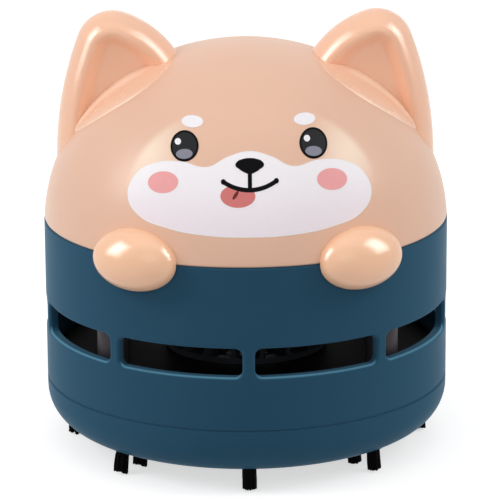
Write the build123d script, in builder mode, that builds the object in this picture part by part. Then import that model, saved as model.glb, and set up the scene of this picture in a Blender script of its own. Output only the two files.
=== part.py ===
"""Desktop mini vacuum cleaner with a puppy's head.

A round body stands on a dust cup whose underside carries two rings of bristle tufts. A drum impeller on a
flat motor draws air up through the cup and its filter and blows it out of the slots around the body. Two AA
cells lie in a tray over the motor, under a head that pulls off. The slide switch is at the back.

Millimetres. +Z is up and the face looks along -Y. The origin is on the body's axis, at the bristles' tips.
"""

import os
from math import asin, atan2, cos, degrees, radians, sin, sqrt

from build123d import *

os.makedirs("parts", exist_ok=True)

# --- Driving dimensions: the outside -------------------------------------------------------------
BODY_R = 42.5  # round body, outside
WALL = 2.0  # moulded wall of the cup, body and head
UNDERSIDE_Z = 4.0  # flat underside of the cup, over the desk
FOOT_ROUND = 8.4  # rounding between underside and side
SEAM_Z = 14.5  # where the body stands on the cup
RIM_Z = 48.7  # where the head stands on the body
DOME_BASE_Z = 46.8  # the dome's widest circle, just under the seam
DOME_H = 38.9  # height of the dome over it
DOME_SIDE_R = 38.3  # its meridian is two tangent arcs: this one rises from the side
EDGE_BREAK = 0.35  # bevel of each edge along a seam
RIM_BREAK = 0.6  # bevel of the head's lower edge
FIT_GAP = 0.4  # radial gap of the two push-fit spigots
SHELL_RI = BODY_R - WALL
PLUG_R = SHELL_RI - FIT_GAP  # outside of both spigots
PLUG_WALL = 1.9
PLUG_RI = PLUG_R - PLUG_WALL

# --- Dust cup ------------------------------------------------------------------------------------
CUP_PLUG_TOP = 18.4
CUP_INNER_ROUND = 5.0
INLET_R = 9.5  # suction inlet in the middle of the underside
INLET_TUBE_R = 11.2
INLET_TOP = 13.0  # the inlet tube stands up inside the cup, so that dust stays in
SEAL_Z = 16.6
SEAL_SECTION_R = 0.7
SEAL_RING_R = 39.7  # centre line of the ring's section
FILTER_Z = 14.2  # the filter frame rests here
FILTER_REST_COUNT = 6

# --- Bristle tufts -------------------------------------------------------------------------------
TUFT_COUNT = 8
OUTER_TUFT_RING = 36.5
INNER_TUFT_RING = 31.0
TUFT_R = 1.38
TUFT_HOLE_R = 1.45
TUFT_ROOT_Z = 6.4
TUFT_BOSS_R = 2.4
TUFT_BOSS_TOP = 8.0
INNER_TIP_Z = 0.3  # the inner ring is a little shorter

# --- Exhaust slots -------------------------------------------------------------------------------
SLOT_COUNT = 9
SLOT_LOW = 25.8
SLOT_HIGH = 31.8
SLOT_CORNER_R = 1.5
SLOT_ROUND = 0.7  # rounding of each slot's outer edge
SLOT_RIB = 3.1  # material left between two slots, measured round the outside
FIRST_SLOT = 360 / SLOT_COUNT / 2  # a rib stands in the middle of the front

# --- Fan, chassis and motor ----------------------------------------------------------------------
SHROUD_Z = 18.8
SHROUD_T = 1.2
SHROUD_R = 39.6
EYE_R = 11.5
DRUM_R = 17.3
DRUM_LOW = 20.6
DRUM_HIGH = 31.0
DRUM_PLATE_T = 1.2
BLADE_COUNT = 18
BLADE_T = 0.9
BLADE_IN_R = 12.8
CHASSIS_Z = 33.0
CHASSIS_T = 1.6
CHASSIS_TOP = CHASSIS_Z + CHASSIS_T
CHASSIS_R = 39.9
POST_RING = 36.0
POST_R = 3.4
POST_ANGLES = (50, 130, 230, 310)  # beside ribs; from the front, anticlockwise seen from above
BOSS_RING = 37.7
BOSS_R = 3.0
BOSS_L = 8.0  # the chassis is screwed to them from below
BOSS_ANGLES = (80, 160, 200, 280)
PILOT_R = 0.9
MOTOR_R = 12.2
MOTOR_WALL = 0.7
MOTOR_CAN_TOP = 45.4
MOTOR_TOP = 46.8
SHAFT_R = 1.0
BEARING_R = 3.0

# --- Battery tray and cells ----------------------------------------------------------------------
TRAY_Z = 47.2
TRAY_T = 1.4
TRAY_L = 59.0
TRAY_W = 35.6
TRAY_WALL = 1.6
TRAY_END_TOP = 60.0
TRAY_SIDE_TOP = 54.0
CELL_R = 7.25
CELL_L = 50.5
CELL_NUB_R = 2.75
CELL_NUB_L = 1.2
CELL_Y = 7.7  # each cell's axis is this far from the middle
CELL_Z = 56.0
CONTACT_T = 0.4
CONTACT_GAP = 0.15
TRAY_POST_X = 22.0
TRAY_POST_Y = 14.0

# --- Slide switch at the back --------------------------------------------------------------------
SWITCH_Z = 40.0
SWITCH_TRAVEL = 4.0
KNOB_W = 4.6
KNOB_H = 3.8
KNOB_OUT_Y = 43.5
FACET_Y = 41.5  # flat of the recess that the knob slides on
FACET_W = 17.0
FACET_H = 8.6

# --- Ears and paws -------------------------------------------------------------------------------
EAR_TIP_X = 27.5
EAR_TIP_Z = 84.6
EAR_TIP_R = 7.7
EAR_HALF_T = 6.0
EAR_ROUND = 4.2
EAR_DISH_INSET = 3.9
EAR_DISH_DEPTH = 2.6
EAR_PEGS = ((24.0, 75.2), (31.0, 68.4))  # x, and the height of the peg's lower end
EAR_PEG_R = 2.0
EAR_PEG_L = 8.5
PAW_ANGLE = 32.4
PAW_RING = 42.0
PAW_Z = 48.8
PAW_HALF = (9.5, 6.2, 6.4)  # across, outwards, up
PAW_PEG_Z = 52.9
PAW_PEG_R = 1.6
PAW_PEG_IN = 39.4  # its inner end
PAW_PEG_L = 4.3
PEG_GAP = 0.1


def around(radius, angle, z=0.0):
    """The point at an angle from the front (-Y), anticlockwise seen from above."""
    return (radius * sin(radians(angle)), -radius * cos(radians(angle)), z)


def outward(angle, z=0.0):
    """A plane through the axis whose normal points outwards at that angle, with its local y up."""
    return Plane(origin=(0, 0, z), x_dir=around(1, angle + 90), z_dir=around(1, angle))


def finish(part, name):
    """Labels a finished piece and writes its file."""
    part.label = name
    export_step(part, f"parts/{name}.step")


# --- Dust cup: floor, rounded foot, inlet tube and the spigot that plugs into the body -----------
with BuildPart() as dust_cup:
    with BuildSketch(Plane.XZ):
        with BuildLine():
            foot_x = BODY_R - FOOT_ROUND
            inner_x = PLUG_RI - CUP_INNER_ROUND
            floor_z = UNDERSIDE_Z + WALL
            groove_r = SEAL_RING_R - SEAL_SECTION_R - 0.05
            Polyline((INLET_R, INLET_TOP), (INLET_R, UNDERSIDE_Z), (foot_x, UNDERSIDE_Z))
            CenterArc((foot_x, UNDERSIDE_Z + FOOT_ROUND), FOOT_ROUND, 270, 90)
            Polyline(
                (BODY_R, UNDERSIDE_Z + FOOT_ROUND),
                (BODY_R, SEAM_Z - EDGE_BREAK),
                (BODY_R - EDGE_BREAK, SEAM_Z),
                (PLUG_R, SEAM_Z),
                (PLUG_R, SEAL_Z - SEAL_SECTION_R),
                (groove_r, SEAL_Z - SEAL_SECTION_R),
                (groove_r, SEAL_Z + SEAL_SECTION_R),
                (PLUG_R, SEAL_Z + SEAL_SECTION_R),
                (PLUG_R, CUP_PLUG_TOP - EDGE_BREAK),
                (PLUG_R - EDGE_BREAK, CUP_PLUG_TOP),
                (PLUG_RI, CUP_PLUG_TOP),
                (PLUG_RI, floor_z + CUP_INNER_ROUND),
            )
            CenterArc((inner_x, floor_z + CUP_INNER_ROUND), CUP_INNER_ROUND, 0, -90)
            Polyline(
                (inner_x, floor_z),
                (INLET_TUBE_R, floor_z),
                (INLET_TUBE_R, INLET_TOP),
                (INLET_R, INLET_TOP),
            )
        make_face()
    revolve(axis=Axis.Z)
    # Bosses that the tufts are planted in, and rests for the filter frame.
    with BuildSketch(Plane.XY.offset(UNDERSIDE_Z + WALL / 2)):
        with PolarLocations(OUTER_TUFT_RING - 0.6, TUFT_COUNT, start_angle=-90):
            Circle(TUFT_BOSS_R)
        with PolarLocations(INNER_TUFT_RING, TUFT_COUNT, start_angle=-90):
            Circle(TUFT_BOSS_R)
    extrude(amount=TUFT_BOSS_TOP - UNDERSIDE_Z - WALL / 2)
    with BuildSketch(Plane.XY.offset(FILTER_Z)):
        with PolarLocations(PLUG_RI - 0.6, FILTER_REST_COUNT, start_angle=-60):
            Rectangle(2.4, 6.0)
    extrude(amount=-1.8)
    with BuildSketch(Plane.XY):
        with PolarLocations(OUTER_TUFT_RING, TUFT_COUNT, start_angle=-90):
            Circle(TUFT_HOLE_R)
        with PolarLocations(INNER_TUFT_RING, TUFT_COUNT, start_angle=-90):
            Circle(TUFT_HOLE_R)
    extrude(amount=TUFT_ROOT_Z, mode=Mode.SUBTRACT)
finish(dust_cup.part, "dust_cup")

# --- Bristle tufts -------------------------------------------------------------------------------
with BuildPart() as outer_tufts:
    with BuildSketch(Plane.XY):
        with PolarLocations(OUTER_TUFT_RING, TUFT_COUNT, start_angle=-90):
            Circle(TUFT_R)
    extrude(amount=TUFT_ROOT_Z)
finish(outer_tufts.part, "outer_tufts")

with BuildPart() as inner_tufts:
    with BuildSketch(Plane.XY.offset(INNER_TIP_Z)):
        with PolarLocations(INNER_TUFT_RING, TUFT_COUNT, start_angle=-90):
            Circle(TUFT_R)
    extrude(amount=TUFT_ROOT_Z - INNER_TIP_Z)
finish(inner_tufts.part, "inner_tufts")

# --- Rubber ring that seals the cup in the body --------------------------------------------------
with BuildPart() as cup_seal:
    with BuildSketch(Plane.XZ):
        with Locations((SEAL_RING_R, SEAL_Z)):
            Circle(SEAL_SECTION_R)
    revolve(axis=Axis.Z)
finish(cup_seal.part, "cup_seal")

# --- Filter: a spoked frame with a grip, over a disc of fine mesh --------------------------------
FRAME_R = PLUG_RI - 0.4
FRAME_RIM = 3.0
FRAME_T = 1.6
MESH_T = 0.4
SPOKE_W = 1.6
SPOKE_COUNT = 6
FRAME_HUB_R = 5.0
FRAME_RING_R = 20.0
GRIP_H = 1.8
with BuildPart() as filter_frame:
    with BuildSketch(Plane.XY.offset(FILTER_Z)):
        Circle(FRAME_R)
        Circle(FRAME_R - FRAME_RIM, mode=Mode.SUBTRACT)
        with PolarLocations(FRAME_R / 2, SPOKE_COUNT, start_angle=-90):
            Rectangle(FRAME_R - FRAME_RIM, SPOKE_W)
        Circle(FRAME_HUB_R)
    extrude(amount=FRAME_T)
    with BuildSketch(Plane.XY.offset(FILTER_Z)):
        Circle(FRAME_RING_R + SPOKE_W / 2)
        Circle(FRAME_RING_R - SPOKE_W / 2, mode=Mode.SUBTRACT)
    extrude(amount=FRAME_T)
    with BuildSketch(Plane.XY.offset(FILTER_Z + FRAME_T)):
        SlotOverall(9.0, 2.4)
    extrude(amount=GRIP_H)
    # The mesh is clipped into a shallow seat under the spokes.
    with BuildSketch(Plane.XY.offset(FILTER_Z)):
        Circle(FRAME_R - FRAME_RIM + 1.0)
    extrude(amount=MESH_T, mode=Mode.SUBTRACT)
finish(filter_frame.part, "filter_frame")

with BuildPart() as filter_mesh:
    with BuildSketch(Plane.XY.offset(FILTER_Z)):
        Circle(FRAME_R - FRAME_RIM + 0.95)
    extrude(amount=MESH_T)
finish(filter_mesh.part, "filter_mesh")

# --- Body shell: slotted wall, ledge and bosses over the chassis, cradle for the switch ----------
LEDGE_R = 38.6
LEDGE_RISE = 1.7
with BuildPart() as body_shell:
    with BuildSketch(Plane.XZ):
        with BuildLine():
            Polyline(
                (SHELL_RI, SEAM_Z),
                (BODY_R - EDGE_BREAK, SEAM_Z),
                (BODY_R, SEAM_Z + EDGE_BREAK),
                (BODY_R, RIM_Z - EDGE_BREAK),
                (BODY_R - EDGE_BREAK, RIM_Z),
                (SHELL_RI, RIM_Z),
                (SHELL_RI, CHASSIS_TOP + LEDGE_RISE),
                (LEDGE_R, CHASSIS_TOP),
                (SHELL_RI, CHASSIS_TOP),
                close=True,
            )
        make_face()
    revolve(axis=Axis.Z)
    rib_half = degrees(asin(SLOT_RIB / 2 / BODY_R))
    slot_width = 2 * BODY_R * sin(radians(FIRST_SLOT - rib_half))
    for k in range(SLOT_COUNT):
        middle = FIRST_SLOT + k * 360 / SLOT_COUNT
        with BuildSketch(outward(middle, (SLOT_LOW + SLOT_HIGH) / 2)):
            RectangleRounded(slot_width, SLOT_HIGH - SLOT_LOW, SLOT_CORNER_R)
        extrude(amount=BODY_R + 1, mode=Mode.SUBTRACT)
    slot_edges = body_shell.edges().filter_by(
        lambda e: SLOT_LOW - 0.1 < e.center().Z < SLOT_HIGH + 0.1
        and all(abs(sqrt((e @ t).X ** 2 + (e @ t).Y ** 2) - BODY_R) < 0.01 for t in (0, 0.5, 1))
    )
    fillet(slot_edges, SLOT_ROUND)
    for angle in BOSS_ANGLES:
        with BuildSketch(Plane.XY.offset(CHASSIS_TOP)):
            with Locations(around(BOSS_RING, angle)):
                Circle(BOSS_R)
        extrude(amount=BOSS_L)
        with BuildSketch(Plane.XY.offset(CHASSIS_TOP)):
            with Locations(around(BOSS_RING, angle)):
                Circle(PILOT_R)
        extrude(amount=6.0, mode=Mode.SUBTRACT)
    # Flat recess for the switch, its slot, and two ribs that hold the switch.
    with BuildSketch(outward(180, SWITCH_Z).offset(FACET_Y)):
        RectangleRounded(FACET_W, FACET_H, 2.0)
    extrude(amount=3.0, mode=Mode.SUBTRACT)
    with BuildSketch(outward(180, SWITCH_Z).offset(30.0)):
        with Locations((-7.2, 0), (7.2, 0)):
            Rectangle(1.4, 8.0)
    extrude(amount=10.6)
    with BuildSketch(outward(180, SWITCH_Z).offset(36.0)):
        RectangleRounded(SWITCH_TRAVEL + KNOB_W + 0.8, KNOB_H + 0.8, 0.6)
    extrude(amount=8.0, mode=Mode.SUBTRACT)
finish(body_shell.part, "body_shell")

# --- Fan shroud: the plate under the impeller, with the eye that air comes through ---------------
with BuildPart() as fan_shroud:
    with BuildSketch(Plane.XY.offset(SHROUD_Z)):
        Circle(SHROUD_R)
        Circle(EYE_R, mode=Mode.SUBTRACT)
        for angle in POST_ANGLES:
            with Locations(around(POST_RING, angle)):
                Circle(PILOT_R + 0.3, mode=Mode.SUBTRACT)
    extrude(amount=SHROUD_T)
finish(fan_shroud.part, "fan_shroud")

# --- Chassis: the plate that carries the motor, with posts down to the shroud and up to the tray -
with BuildPart() as chassis:
    with BuildSketch(Plane.XY.offset(CHASSIS_Z)):
        Circle(CHASSIS_R)
        Circle(BEARING_R + 0.1, mode=Mode.SUBTRACT)
        for angle in BOSS_ANGLES:
            with Locations(around(BOSS_RING, angle)):
                Circle(PILOT_R + 0.3, mode=Mode.SUBTRACT)
        with Locations((0, 20)):
            SlotOverall(8.0, 4.0, mode=Mode.SUBTRACT)
    extrude(amount=CHASSIS_T)
    with BuildSketch(Plane.XY.offset(SHROUD_Z + SHROUD_T)):
        for angle in POST_ANGLES:
            with Locations(around(POST_RING, angle)):
                Circle(POST_R)
    extrude(amount=CHASSIS_Z - SHROUD_Z - SHROUD_T)
    with BuildSketch(Plane.XY.offset(SHROUD_Z + SHROUD_T)):
        for angle in POST_ANGLES:
            with Locations(around(POST_RING, angle)):
                Circle(PILOT_R)
    extrude(amount=7.0, mode=Mode.SUBTRACT)
    with BuildSketch(Plane.XY.offset(CHASSIS_TOP)):
        Circle(MOTOR_R + 1.4)
        Circle(MOTOR_R + 0.1, mode=Mode.SUBTRACT)
    extrude(amount=3.0)
    with BuildSketch(Plane.XY.offset(CHASSIS_TOP)):
        with GridLocations(2 * TRAY_POST_X, 2 * TRAY_POST_Y, 2, 2):
            Circle(2.6)
    extrude(amount=TRAY_Z - CHASSIS_TOP)
    with BuildSketch(Plane.XY.offset(TRAY_Z)):
        with GridLocations(2 * TRAY_POST_X, 2 * TRAY_POST_Y, 2, 2):
            Circle(PILOT_R)
    extrude(amount=-6.0, mode=Mode.SUBTRACT)
finish(chassis.part, "chassis")

# --- Motor: can, magnets, end cap, terminals, and the rotor and shaft that turn ------------------
with BuildPart() as motor_can:
    with BuildSketch(Plane.XZ):
        with BuildLine():
            Polyline(
                (SHAFT_R + 0.08, CHASSIS_Z + 0.4),
                (BEARING_R, CHASSIS_Z + 0.4),
                (BEARING_R, CHASSIS_TOP),
                (MOTOR_R - 0.6, CHASSIS_TOP),
                (MOTOR_R, CHASSIS_TOP + 0.6),
                (MOTOR_R, MOTOR_CAN_TOP),
                (MOTOR_R - MOTOR_WALL, MOTOR_CAN_TOP),
                (MOTOR_R - MOTOR_WALL, CHASSIS_TOP + MOTOR_WALL),
                (SHAFT_R + 0.08, CHASSIS_TOP + MOTOR_WALL),
                close=True,
            )
        make_face()
    revolve(axis=Axis.Z)
finish(motor_can.part, "motor_can")

with BuildPart() as motor_magnets:
    with BuildSketch(Plane.XY.offset(CHASSIS_TOP + 1.6)):
        Circle(MOTOR_R - MOTOR_WALL)
        Circle(MOTOR_R - MOTOR_WALL - 1.6, mode=Mode.SUBTRACT)
        Rectangle(8.0, 3 * MOTOR_R, mode=Mode.SUBTRACT)
    extrude(amount=7.6)
finish(motor_magnets.part, "motor_magnets")

with BuildPart() as motor_end_cap:
    with BuildSketch(Plane.XZ):
        with BuildLine():
            Polyline(
                (SHAFT_R + 0.08, MOTOR_CAN_TOP - 1.0),
                (MOTOR_R - MOTOR_WALL, MOTOR_CAN_TOP - 1.0),
                (MOTOR_R - MOTOR_WALL, MOTOR_CAN_TOP),
                (MOTOR_R, MOTOR_CAN_TOP),
                (MOTOR_R, MOTOR_TOP),
                (SHAFT_R + 0.08, MOTOR_TOP),
                close=True,
            )
        make_face()
    revolve(axis=Axis.Z)
    with BuildSketch(Plane.XY.offset(MOTOR_CAN_TOP + 0.5)):
        with Locations((-5, 10.6), (5, 10.6)):
            Rectangle(2.0, 6.0)
    extrude(amount=0.4, mode=Mode.SUBTRACT)
finish(motor_end_cap.part, "motor_end_cap")

with BuildPart() as motor_terminals:
    with BuildSketch(Plane.XY.offset(MOTOR_CAN_TOP + 0.5)):
        with Locations((-5, 11.1), (5, 11.1)):
            Rectangle(2.0, 7.0)
    extrude(amount=0.4)
finish(motor_terminals.part, "motor_terminals")

with BuildPart() as motor_shaft:
    with BuildSketch(Plane.XY.offset(DRUM_LOW + 2.0)):
        Circle(SHAFT_R)
    extrude(amount=MOTOR_TOP - 0.3 - DRUM_LOW - 2.0)
finish(motor_shaft.part, "motor_shaft")

ROTOR_R = 9.4
with BuildPart() as motor_rotor:
    with BuildSketch(Plane.XY.offset(CHASSIS_TOP + 1.8)):
        Circle(ROTOR_R)
        with PolarLocations(ROTOR_R - 2.4, 3):
            Rectangle(5.6, 2.2, mode=Mode.SUBTRACT)
        Circle(SHAFT_R, mode=Mode.SUBTRACT)
    extrude(amount=5.6)
    with BuildSketch(Plane.XY.offset(CHASSIS_TOP + 7.4)):
        Circle(3.0)
        Circle(SHAFT_R, mode=Mode.SUBTRACT)
    extrude(amount=2.0)
finish(motor_rotor.part, "motor_rotor")

# --- Impeller: a drum of curved blades between a top plate and a ring ----------------------------
HUB_R = 3.2
BLADE_OUT_R = DRUM_R - 0.15
BLADE_BOW = 0.7
with BuildSketch() as blade:
    with BuildLine():
        outer_bow = ThreePointArc(
            (BLADE_IN_R, -BLADE_T / 2),
            ((BLADE_IN_R + BLADE_OUT_R) / 2, BLADE_BOW - BLADE_T / 2),
            (BLADE_OUT_R, -BLADE_T / 2),
        )
        Line(outer_bow @ 1, (BLADE_OUT_R, BLADE_T / 2))
        inner_bow = ThreePointArc(
            (BLADE_OUT_R, BLADE_T / 2),
            ((BLADE_IN_R + BLADE_OUT_R) / 2, BLADE_BOW + BLADE_T / 2),
            (BLADE_IN_R, BLADE_T / 2),
        )
        Line(inner_bow @ 1, outer_bow @ 0)
    make_face()

with BuildPart() as impeller:
    with BuildSketch(Plane.XY.offset(DRUM_HIGH - DRUM_PLATE_T)):
        Circle(DRUM_R)
        Circle(SHAFT_R, mode=Mode.SUBTRACT)
    extrude(amount=DRUM_PLATE_T)
    with BuildSketch(Plane.XY.offset(DRUM_LOW)):
        Circle(DRUM_R)
        Circle(DRUM_R - 2.0, mode=Mode.SUBTRACT)
    extrude(amount=DRUM_PLATE_T)
    with BuildSketch(Plane.XY.offset(DRUM_LOW + 2.0)):
        Circle(HUB_R)
        Circle(SHAFT_R, mode=Mode.SUBTRACT)
    extrude(amount=DRUM_HIGH - DRUM_PLATE_T - DRUM_LOW - 2.0)
    with BuildSketch(Plane.XY.offset(DRUM_LOW)):
        with PolarLocations(0, BLADE_COUNT):
            add(blade.sketch)
    extrude(amount=DRUM_HIGH - DRUM_PLATE_T - DRUM_LOW)
finish(impeller.part, "impeller")

# --- Battery tray, contacts, springs and cells ---------------------------------------------------
END_X = TRAY_L / 2 - TRAY_WALL  # inner face of each end wall
with BuildPart() as battery_tray:
    with BuildSketch(Plane.XY.offset(TRAY_Z)):
        RectangleRounded(TRAY_L, TRAY_W, 2.0)
    extrude(amount=TRAY_SIDE_TOP - TRAY_Z)
    with BuildSketch(Plane.XY.offset(TRAY_Z + TRAY_T)):
        Rectangle(TRAY_L - 2 * TRAY_WALL, TRAY_W - 2 * TRAY_WALL)
    extrude(amount=TRAY_SIDE_TOP, mode=Mode.SUBTRACT)
    with BuildSketch(Plane.XY.offset(TRAY_SIDE_TOP)):
        with Locations((-(END_X + TRAY_WALL / 2), 0), (END_X + TRAY_WALL / 2, 0)):
            Rectangle(TRAY_WALL, TRAY_W - 6.0)
    extrude(amount=TRAY_END_TOP - TRAY_SIDE_TOP)
    with BuildSketch(Plane.XY.offset(TRAY_Z + TRAY_T)):
        with Locations((-12, 0), (12, 0)):
            Rectangle(10.0, 0.6)
    extrude(amount=5.0)
    with BuildSketch(Plane.XY.offset(TRAY_Z)):
        with GridLocations(2 * TRAY_POST_X, 2 * TRAY_POST_Y, 2, 2):
            Circle(PILOT_R + 0.3)
    extrude(amount=TRAY_T, mode=Mode.SUBTRACT)
finish(battery_tray.part, "battery_tray")

PLATE_X = END_X - CONTACT_T
PLATE_H = 10.0
with BuildPart() as contact_plates:
    with BuildSketch(Plane.YZ.offset(-END_X)):
        with Locations((-CELL_Y, CELL_Z - 1.2), (CELL_Y, CELL_Z - 1.2)):
            RectangleRounded(10.0, PLATE_H, 1.0)
    extrude(amount=CONTACT_T)
    with BuildSketch(Plane.YZ.offset(PLATE_X)):
        with Locations((0, CELL_Z - 1.2)):
            RectangleRounded(10.0 + 2 * CELL_Y, PLATE_H, 1.0)
    extrude(amount=CONTACT_T)
    # A raised button on each plate meets the cell's nub.
    button_h = PLATE_X - CELL_L / 2 - CONTACT_GAP
    with BuildSketch(Plane.YZ.offset(-PLATE_X)):
        with Locations((-CELL_Y, CELL_Z)):
            Circle(2.4)
    extrude(amount=button_h, taper=12)
    with BuildSketch(Plane.YZ.offset(PLATE_X)):
        with Locations((CELL_Y, CELL_Z)):
            Circle(2.4)
    extrude(amount=-button_h, taper=12)
finish(contact_plates.part, "contact_plates")

SPRING_WIRE_R = 0.3
SPRING_R = 3.2
SPRING_TURNS = 2
with BuildPart() as contact_springs:
    for side in (-1, 1):
        spring_l = button_h - 2 * SPRING_WIRE_R
        with BuildLine() as spring_line:
            Helix(
                pitch=spring_l / SPRING_TURNS,
                height=spring_l,
                radius=SPRING_R,
                center=(-side * (PLATE_X - SPRING_WIRE_R), side * CELL_Y, CELL_Z),
                direction=(side, 0, 0),
            )
        with BuildSketch(Plane(origin=spring_line.line @ 0, z_dir=spring_line.line % 0)):
            Circle(SPRING_WIRE_R - 0.02)
        sweep(path=spring_line.line, is_frenet=True)
finish(contact_springs.part, "contact_springs")

for name, side in (("front_cell", -1), ("rear_cell", 1)):
    with BuildPart() as cell:
        with BuildSketch(Plane.YZ.offset(-side * CELL_L / 2)):
            with Locations((side * CELL_Y, CELL_Z)):
                Circle(CELL_R)
        extrude(amount=side * (CELL_L - CELL_NUB_L))
        fillet(cell.edges().filter_by(GeomType.CIRCLE), 0.6)
        with BuildSketch(Plane.YZ.offset(side * (CELL_L / 2 - CELL_NUB_L))):
            with Locations((side * CELL_Y, CELL_Z)):
                Circle(CELL_NUB_R)
        extrude(amount=side * CELL_NUB_L)
    finish(cell.part, name)

# --- Slide switch --------------------------------------------------------------------------------
with BuildPart() as switch_housing:
    with BuildSketch(outward(180, SWITCH_Z).offset(32.6)):
        RectangleRounded(12.4, 6.0, 0.5)
    extrude(amount=5.2)
    with BuildSketch(outward(180, SWITCH_Z).offset(29.6)):
        with Locations((-3, 0), (0, 0), (3, 0)):
            Rectangle(0.8, 1.6)
    extrude(amount=3.0)
finish(switch_housing.part, "switch_housing")

REST_X = -SWITCH_TRAVEL / 2  # off
with BuildPart() as switch_knob:
    with BuildSketch(Plane(origin=(REST_X, 0, SWITCH_Z), x_dir=(1, 0, 0), z_dir=(0, 1, 0)).offset(38.1)):
        Rectangle(KNOB_W + 3.0, KNOB_H + 1.6)
    extrude(amount=1.0)
    with BuildSketch(Plane(origin=(REST_X, 0, SWITCH_Z), x_dir=(1, 0, 0), z_dir=(0, 1, 0)).offset(39.1)):
        RectangleRounded(KNOB_W, KNOB_H, 0.5)
    extrude(amount=KNOB_OUT_Y - 39.1)
    grip_edges = switch_knob.faces().sort_by(Axis.Y)[-1].edges()
    fillet(grip_edges, 0.4)
    for x in (-1.2, 0.0, 1.2):
        with BuildSketch(Plane.XY.offset(SWITCH_Z - KNOB_H)):
            with Locations((REST_X + x, KNOB_OUT_Y + 0.1)):
                Circle(0.35)
        extrude(amount=2 * KNOB_H, mode=Mode.SUBTRACT)
finish(switch_knob.part, "switch_knob")


# --- Head: dome over a short spigot, with holes for the ears' and paws' pegs ---------------------
def dome_meridian(inset, low):
    """Draws the dome's meridian, or that of a surface inset from it, in the line being built.

    It starts at the height low, and the arc of its side is returned.
    """
    crown_r = (BODY_R**2 + DOME_H**2 - 2 * BODY_R * DOME_SIDE_R) / (2 * (DOME_H - DOME_SIDE_R))
    turn = degrees(atan2(crown_r - DOME_H, BODY_R - DOME_SIDE_R))
    first = degrees(asin((low - DOME_BASE_Z) / (DOME_SIDE_R - inset)))
    side = CenterArc((BODY_R - DOME_SIDE_R, DOME_BASE_Z), DOME_SIDE_R - inset, first, turn - first)
    CenterArc((0, DOME_BASE_Z + DOME_H - crown_r), crown_r - inset, turn, 90 - turn)
    return side


with BuildPart() as head_block:  # the head as if it were solid, to trim what is seated on it
    with BuildSketch(Plane.YZ):
        with BuildLine():
            side = dome_meridian(0, RIM_Z)
            Polyline((0, DOME_BASE_Z + DOME_H), (0, RIM_Z), side @ 0)
        make_face()
    revolve(axis=Axis.Z)

HEAD_PLUG_LOW = 44.2
HOLLOW_LOW = 50.6  # the dome's inner surface ends here, over the spigot
paw_peg_lines = [outward(angle, PAW_PEG_Z) for angle in (-PAW_ANGLE, PAW_ANGLE)]
with BuildPart() as head_shell:
    with BuildSketch(Plane.YZ):
        with BuildLine():
            outside = dome_meridian(0, RIM_Z + RIM_BREAK)
            Line((0, DOME_BASE_Z + DOME_H), (0, DOME_BASE_Z + DOME_H - WALL))
            inside = dome_meridian(WALL, HOLLOW_LOW)
            Polyline(
                inside @ 0,
                (PLUG_RI, HOLLOW_LOW - 1.0),
                (PLUG_RI, HEAD_PLUG_LOW),
                (PLUG_R - EDGE_BREAK, HEAD_PLUG_LOW),
                (PLUG_R, HEAD_PLUG_LOW + EDGE_BREAK),
                (PLUG_R, RIM_Z),
                (BODY_R - RIM_BREAK, RIM_Z),
                outside @ 0,
            )
        make_face()
    revolve(axis=Axis.Z)
    for peg_x, peg_low in EAR_PEGS:
        with BuildSketch(Plane.XY.offset(peg_low)):
            with Locations((-peg_x, 0), (peg_x, 0)):
                Circle(EAR_PEG_R + PEG_GAP)
        extrude(amount=10.0, mode=Mode.SUBTRACT)
    for line in paw_peg_lines:
        with BuildSketch(line.offset(PLUG_RI)):
            Circle(PAW_PEG_R + PEG_GAP)
        extrude(amount=8.0, mode=Mode.SUBTRACT)
finish(head_shell.part, "head_shell")

# --- Ears: rounded blades with a dished front, pegged into the head ------------------------------
TIP_IN = 109  # where the inner side leaves the tip's arc, degrees
TIP_OUT = 21
EAR_FOOT = ((39.6, 60.5), (31.0, 52.0), (6.0, 69.0), (11.5, 78.0))
with BuildPart() as right_ear:
    with BuildSketch(Plane.XZ) as ear_face:
        with BuildLine():
            tip = CenterArc((EAR_TIP_X, EAR_TIP_Z), EAR_TIP_R, TIP_IN, TIP_OUT - TIP_IN)
            TangentArc(tip @ 1, EAR_FOOT[0], tangent=tip % 1)
            Polyline(*EAR_FOOT)
            TangentArc(tip @ 0, EAR_FOOT[-1], tangent=-(tip % 0))
        make_face()
    extrude(amount=EAR_HALF_T, both=True)
    rim_edges = right_ear.edges().filter_by(
        lambda e: abs(abs(e.center().Y) - EAR_HALF_T) < 0.01 and e.center().Z > 66
    )
    fillet(rim_edges, EAR_ROUND)
    with BuildSketch(Plane.XZ.offset(EAR_HALF_T)):
        add(ear_face.sketch.face())
        offset(amount=-EAR_DISH_INSET, mode=Mode.REPLACE)
    extrude(amount=-EAR_DISH_DEPTH, taper=40, mode=Mode.SUBTRACT)
    add(head_block.part, mode=Mode.SUBTRACT)
    for peg_x, peg_low in EAR_PEGS:
        with BuildSketch(Plane.XY.offset(peg_low)):
            with Locations((peg_x, 0)):
                Circle(EAR_PEG_R)
        extrude(amount=EAR_PEG_L)
        with BuildSketch(Plane.XY.offset(peg_low)):
            with Locations((peg_x, 0)):
                Circle(PILOT_R)
        extrude(amount=5.0, mode=Mode.SUBTRACT)
finish(right_ear.part, "right_ear")

with BuildPart() as left_ear:
    mirror(right_ear.part, about=Plane.YZ)
finish(left_ear.part, "left_ear")

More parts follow.
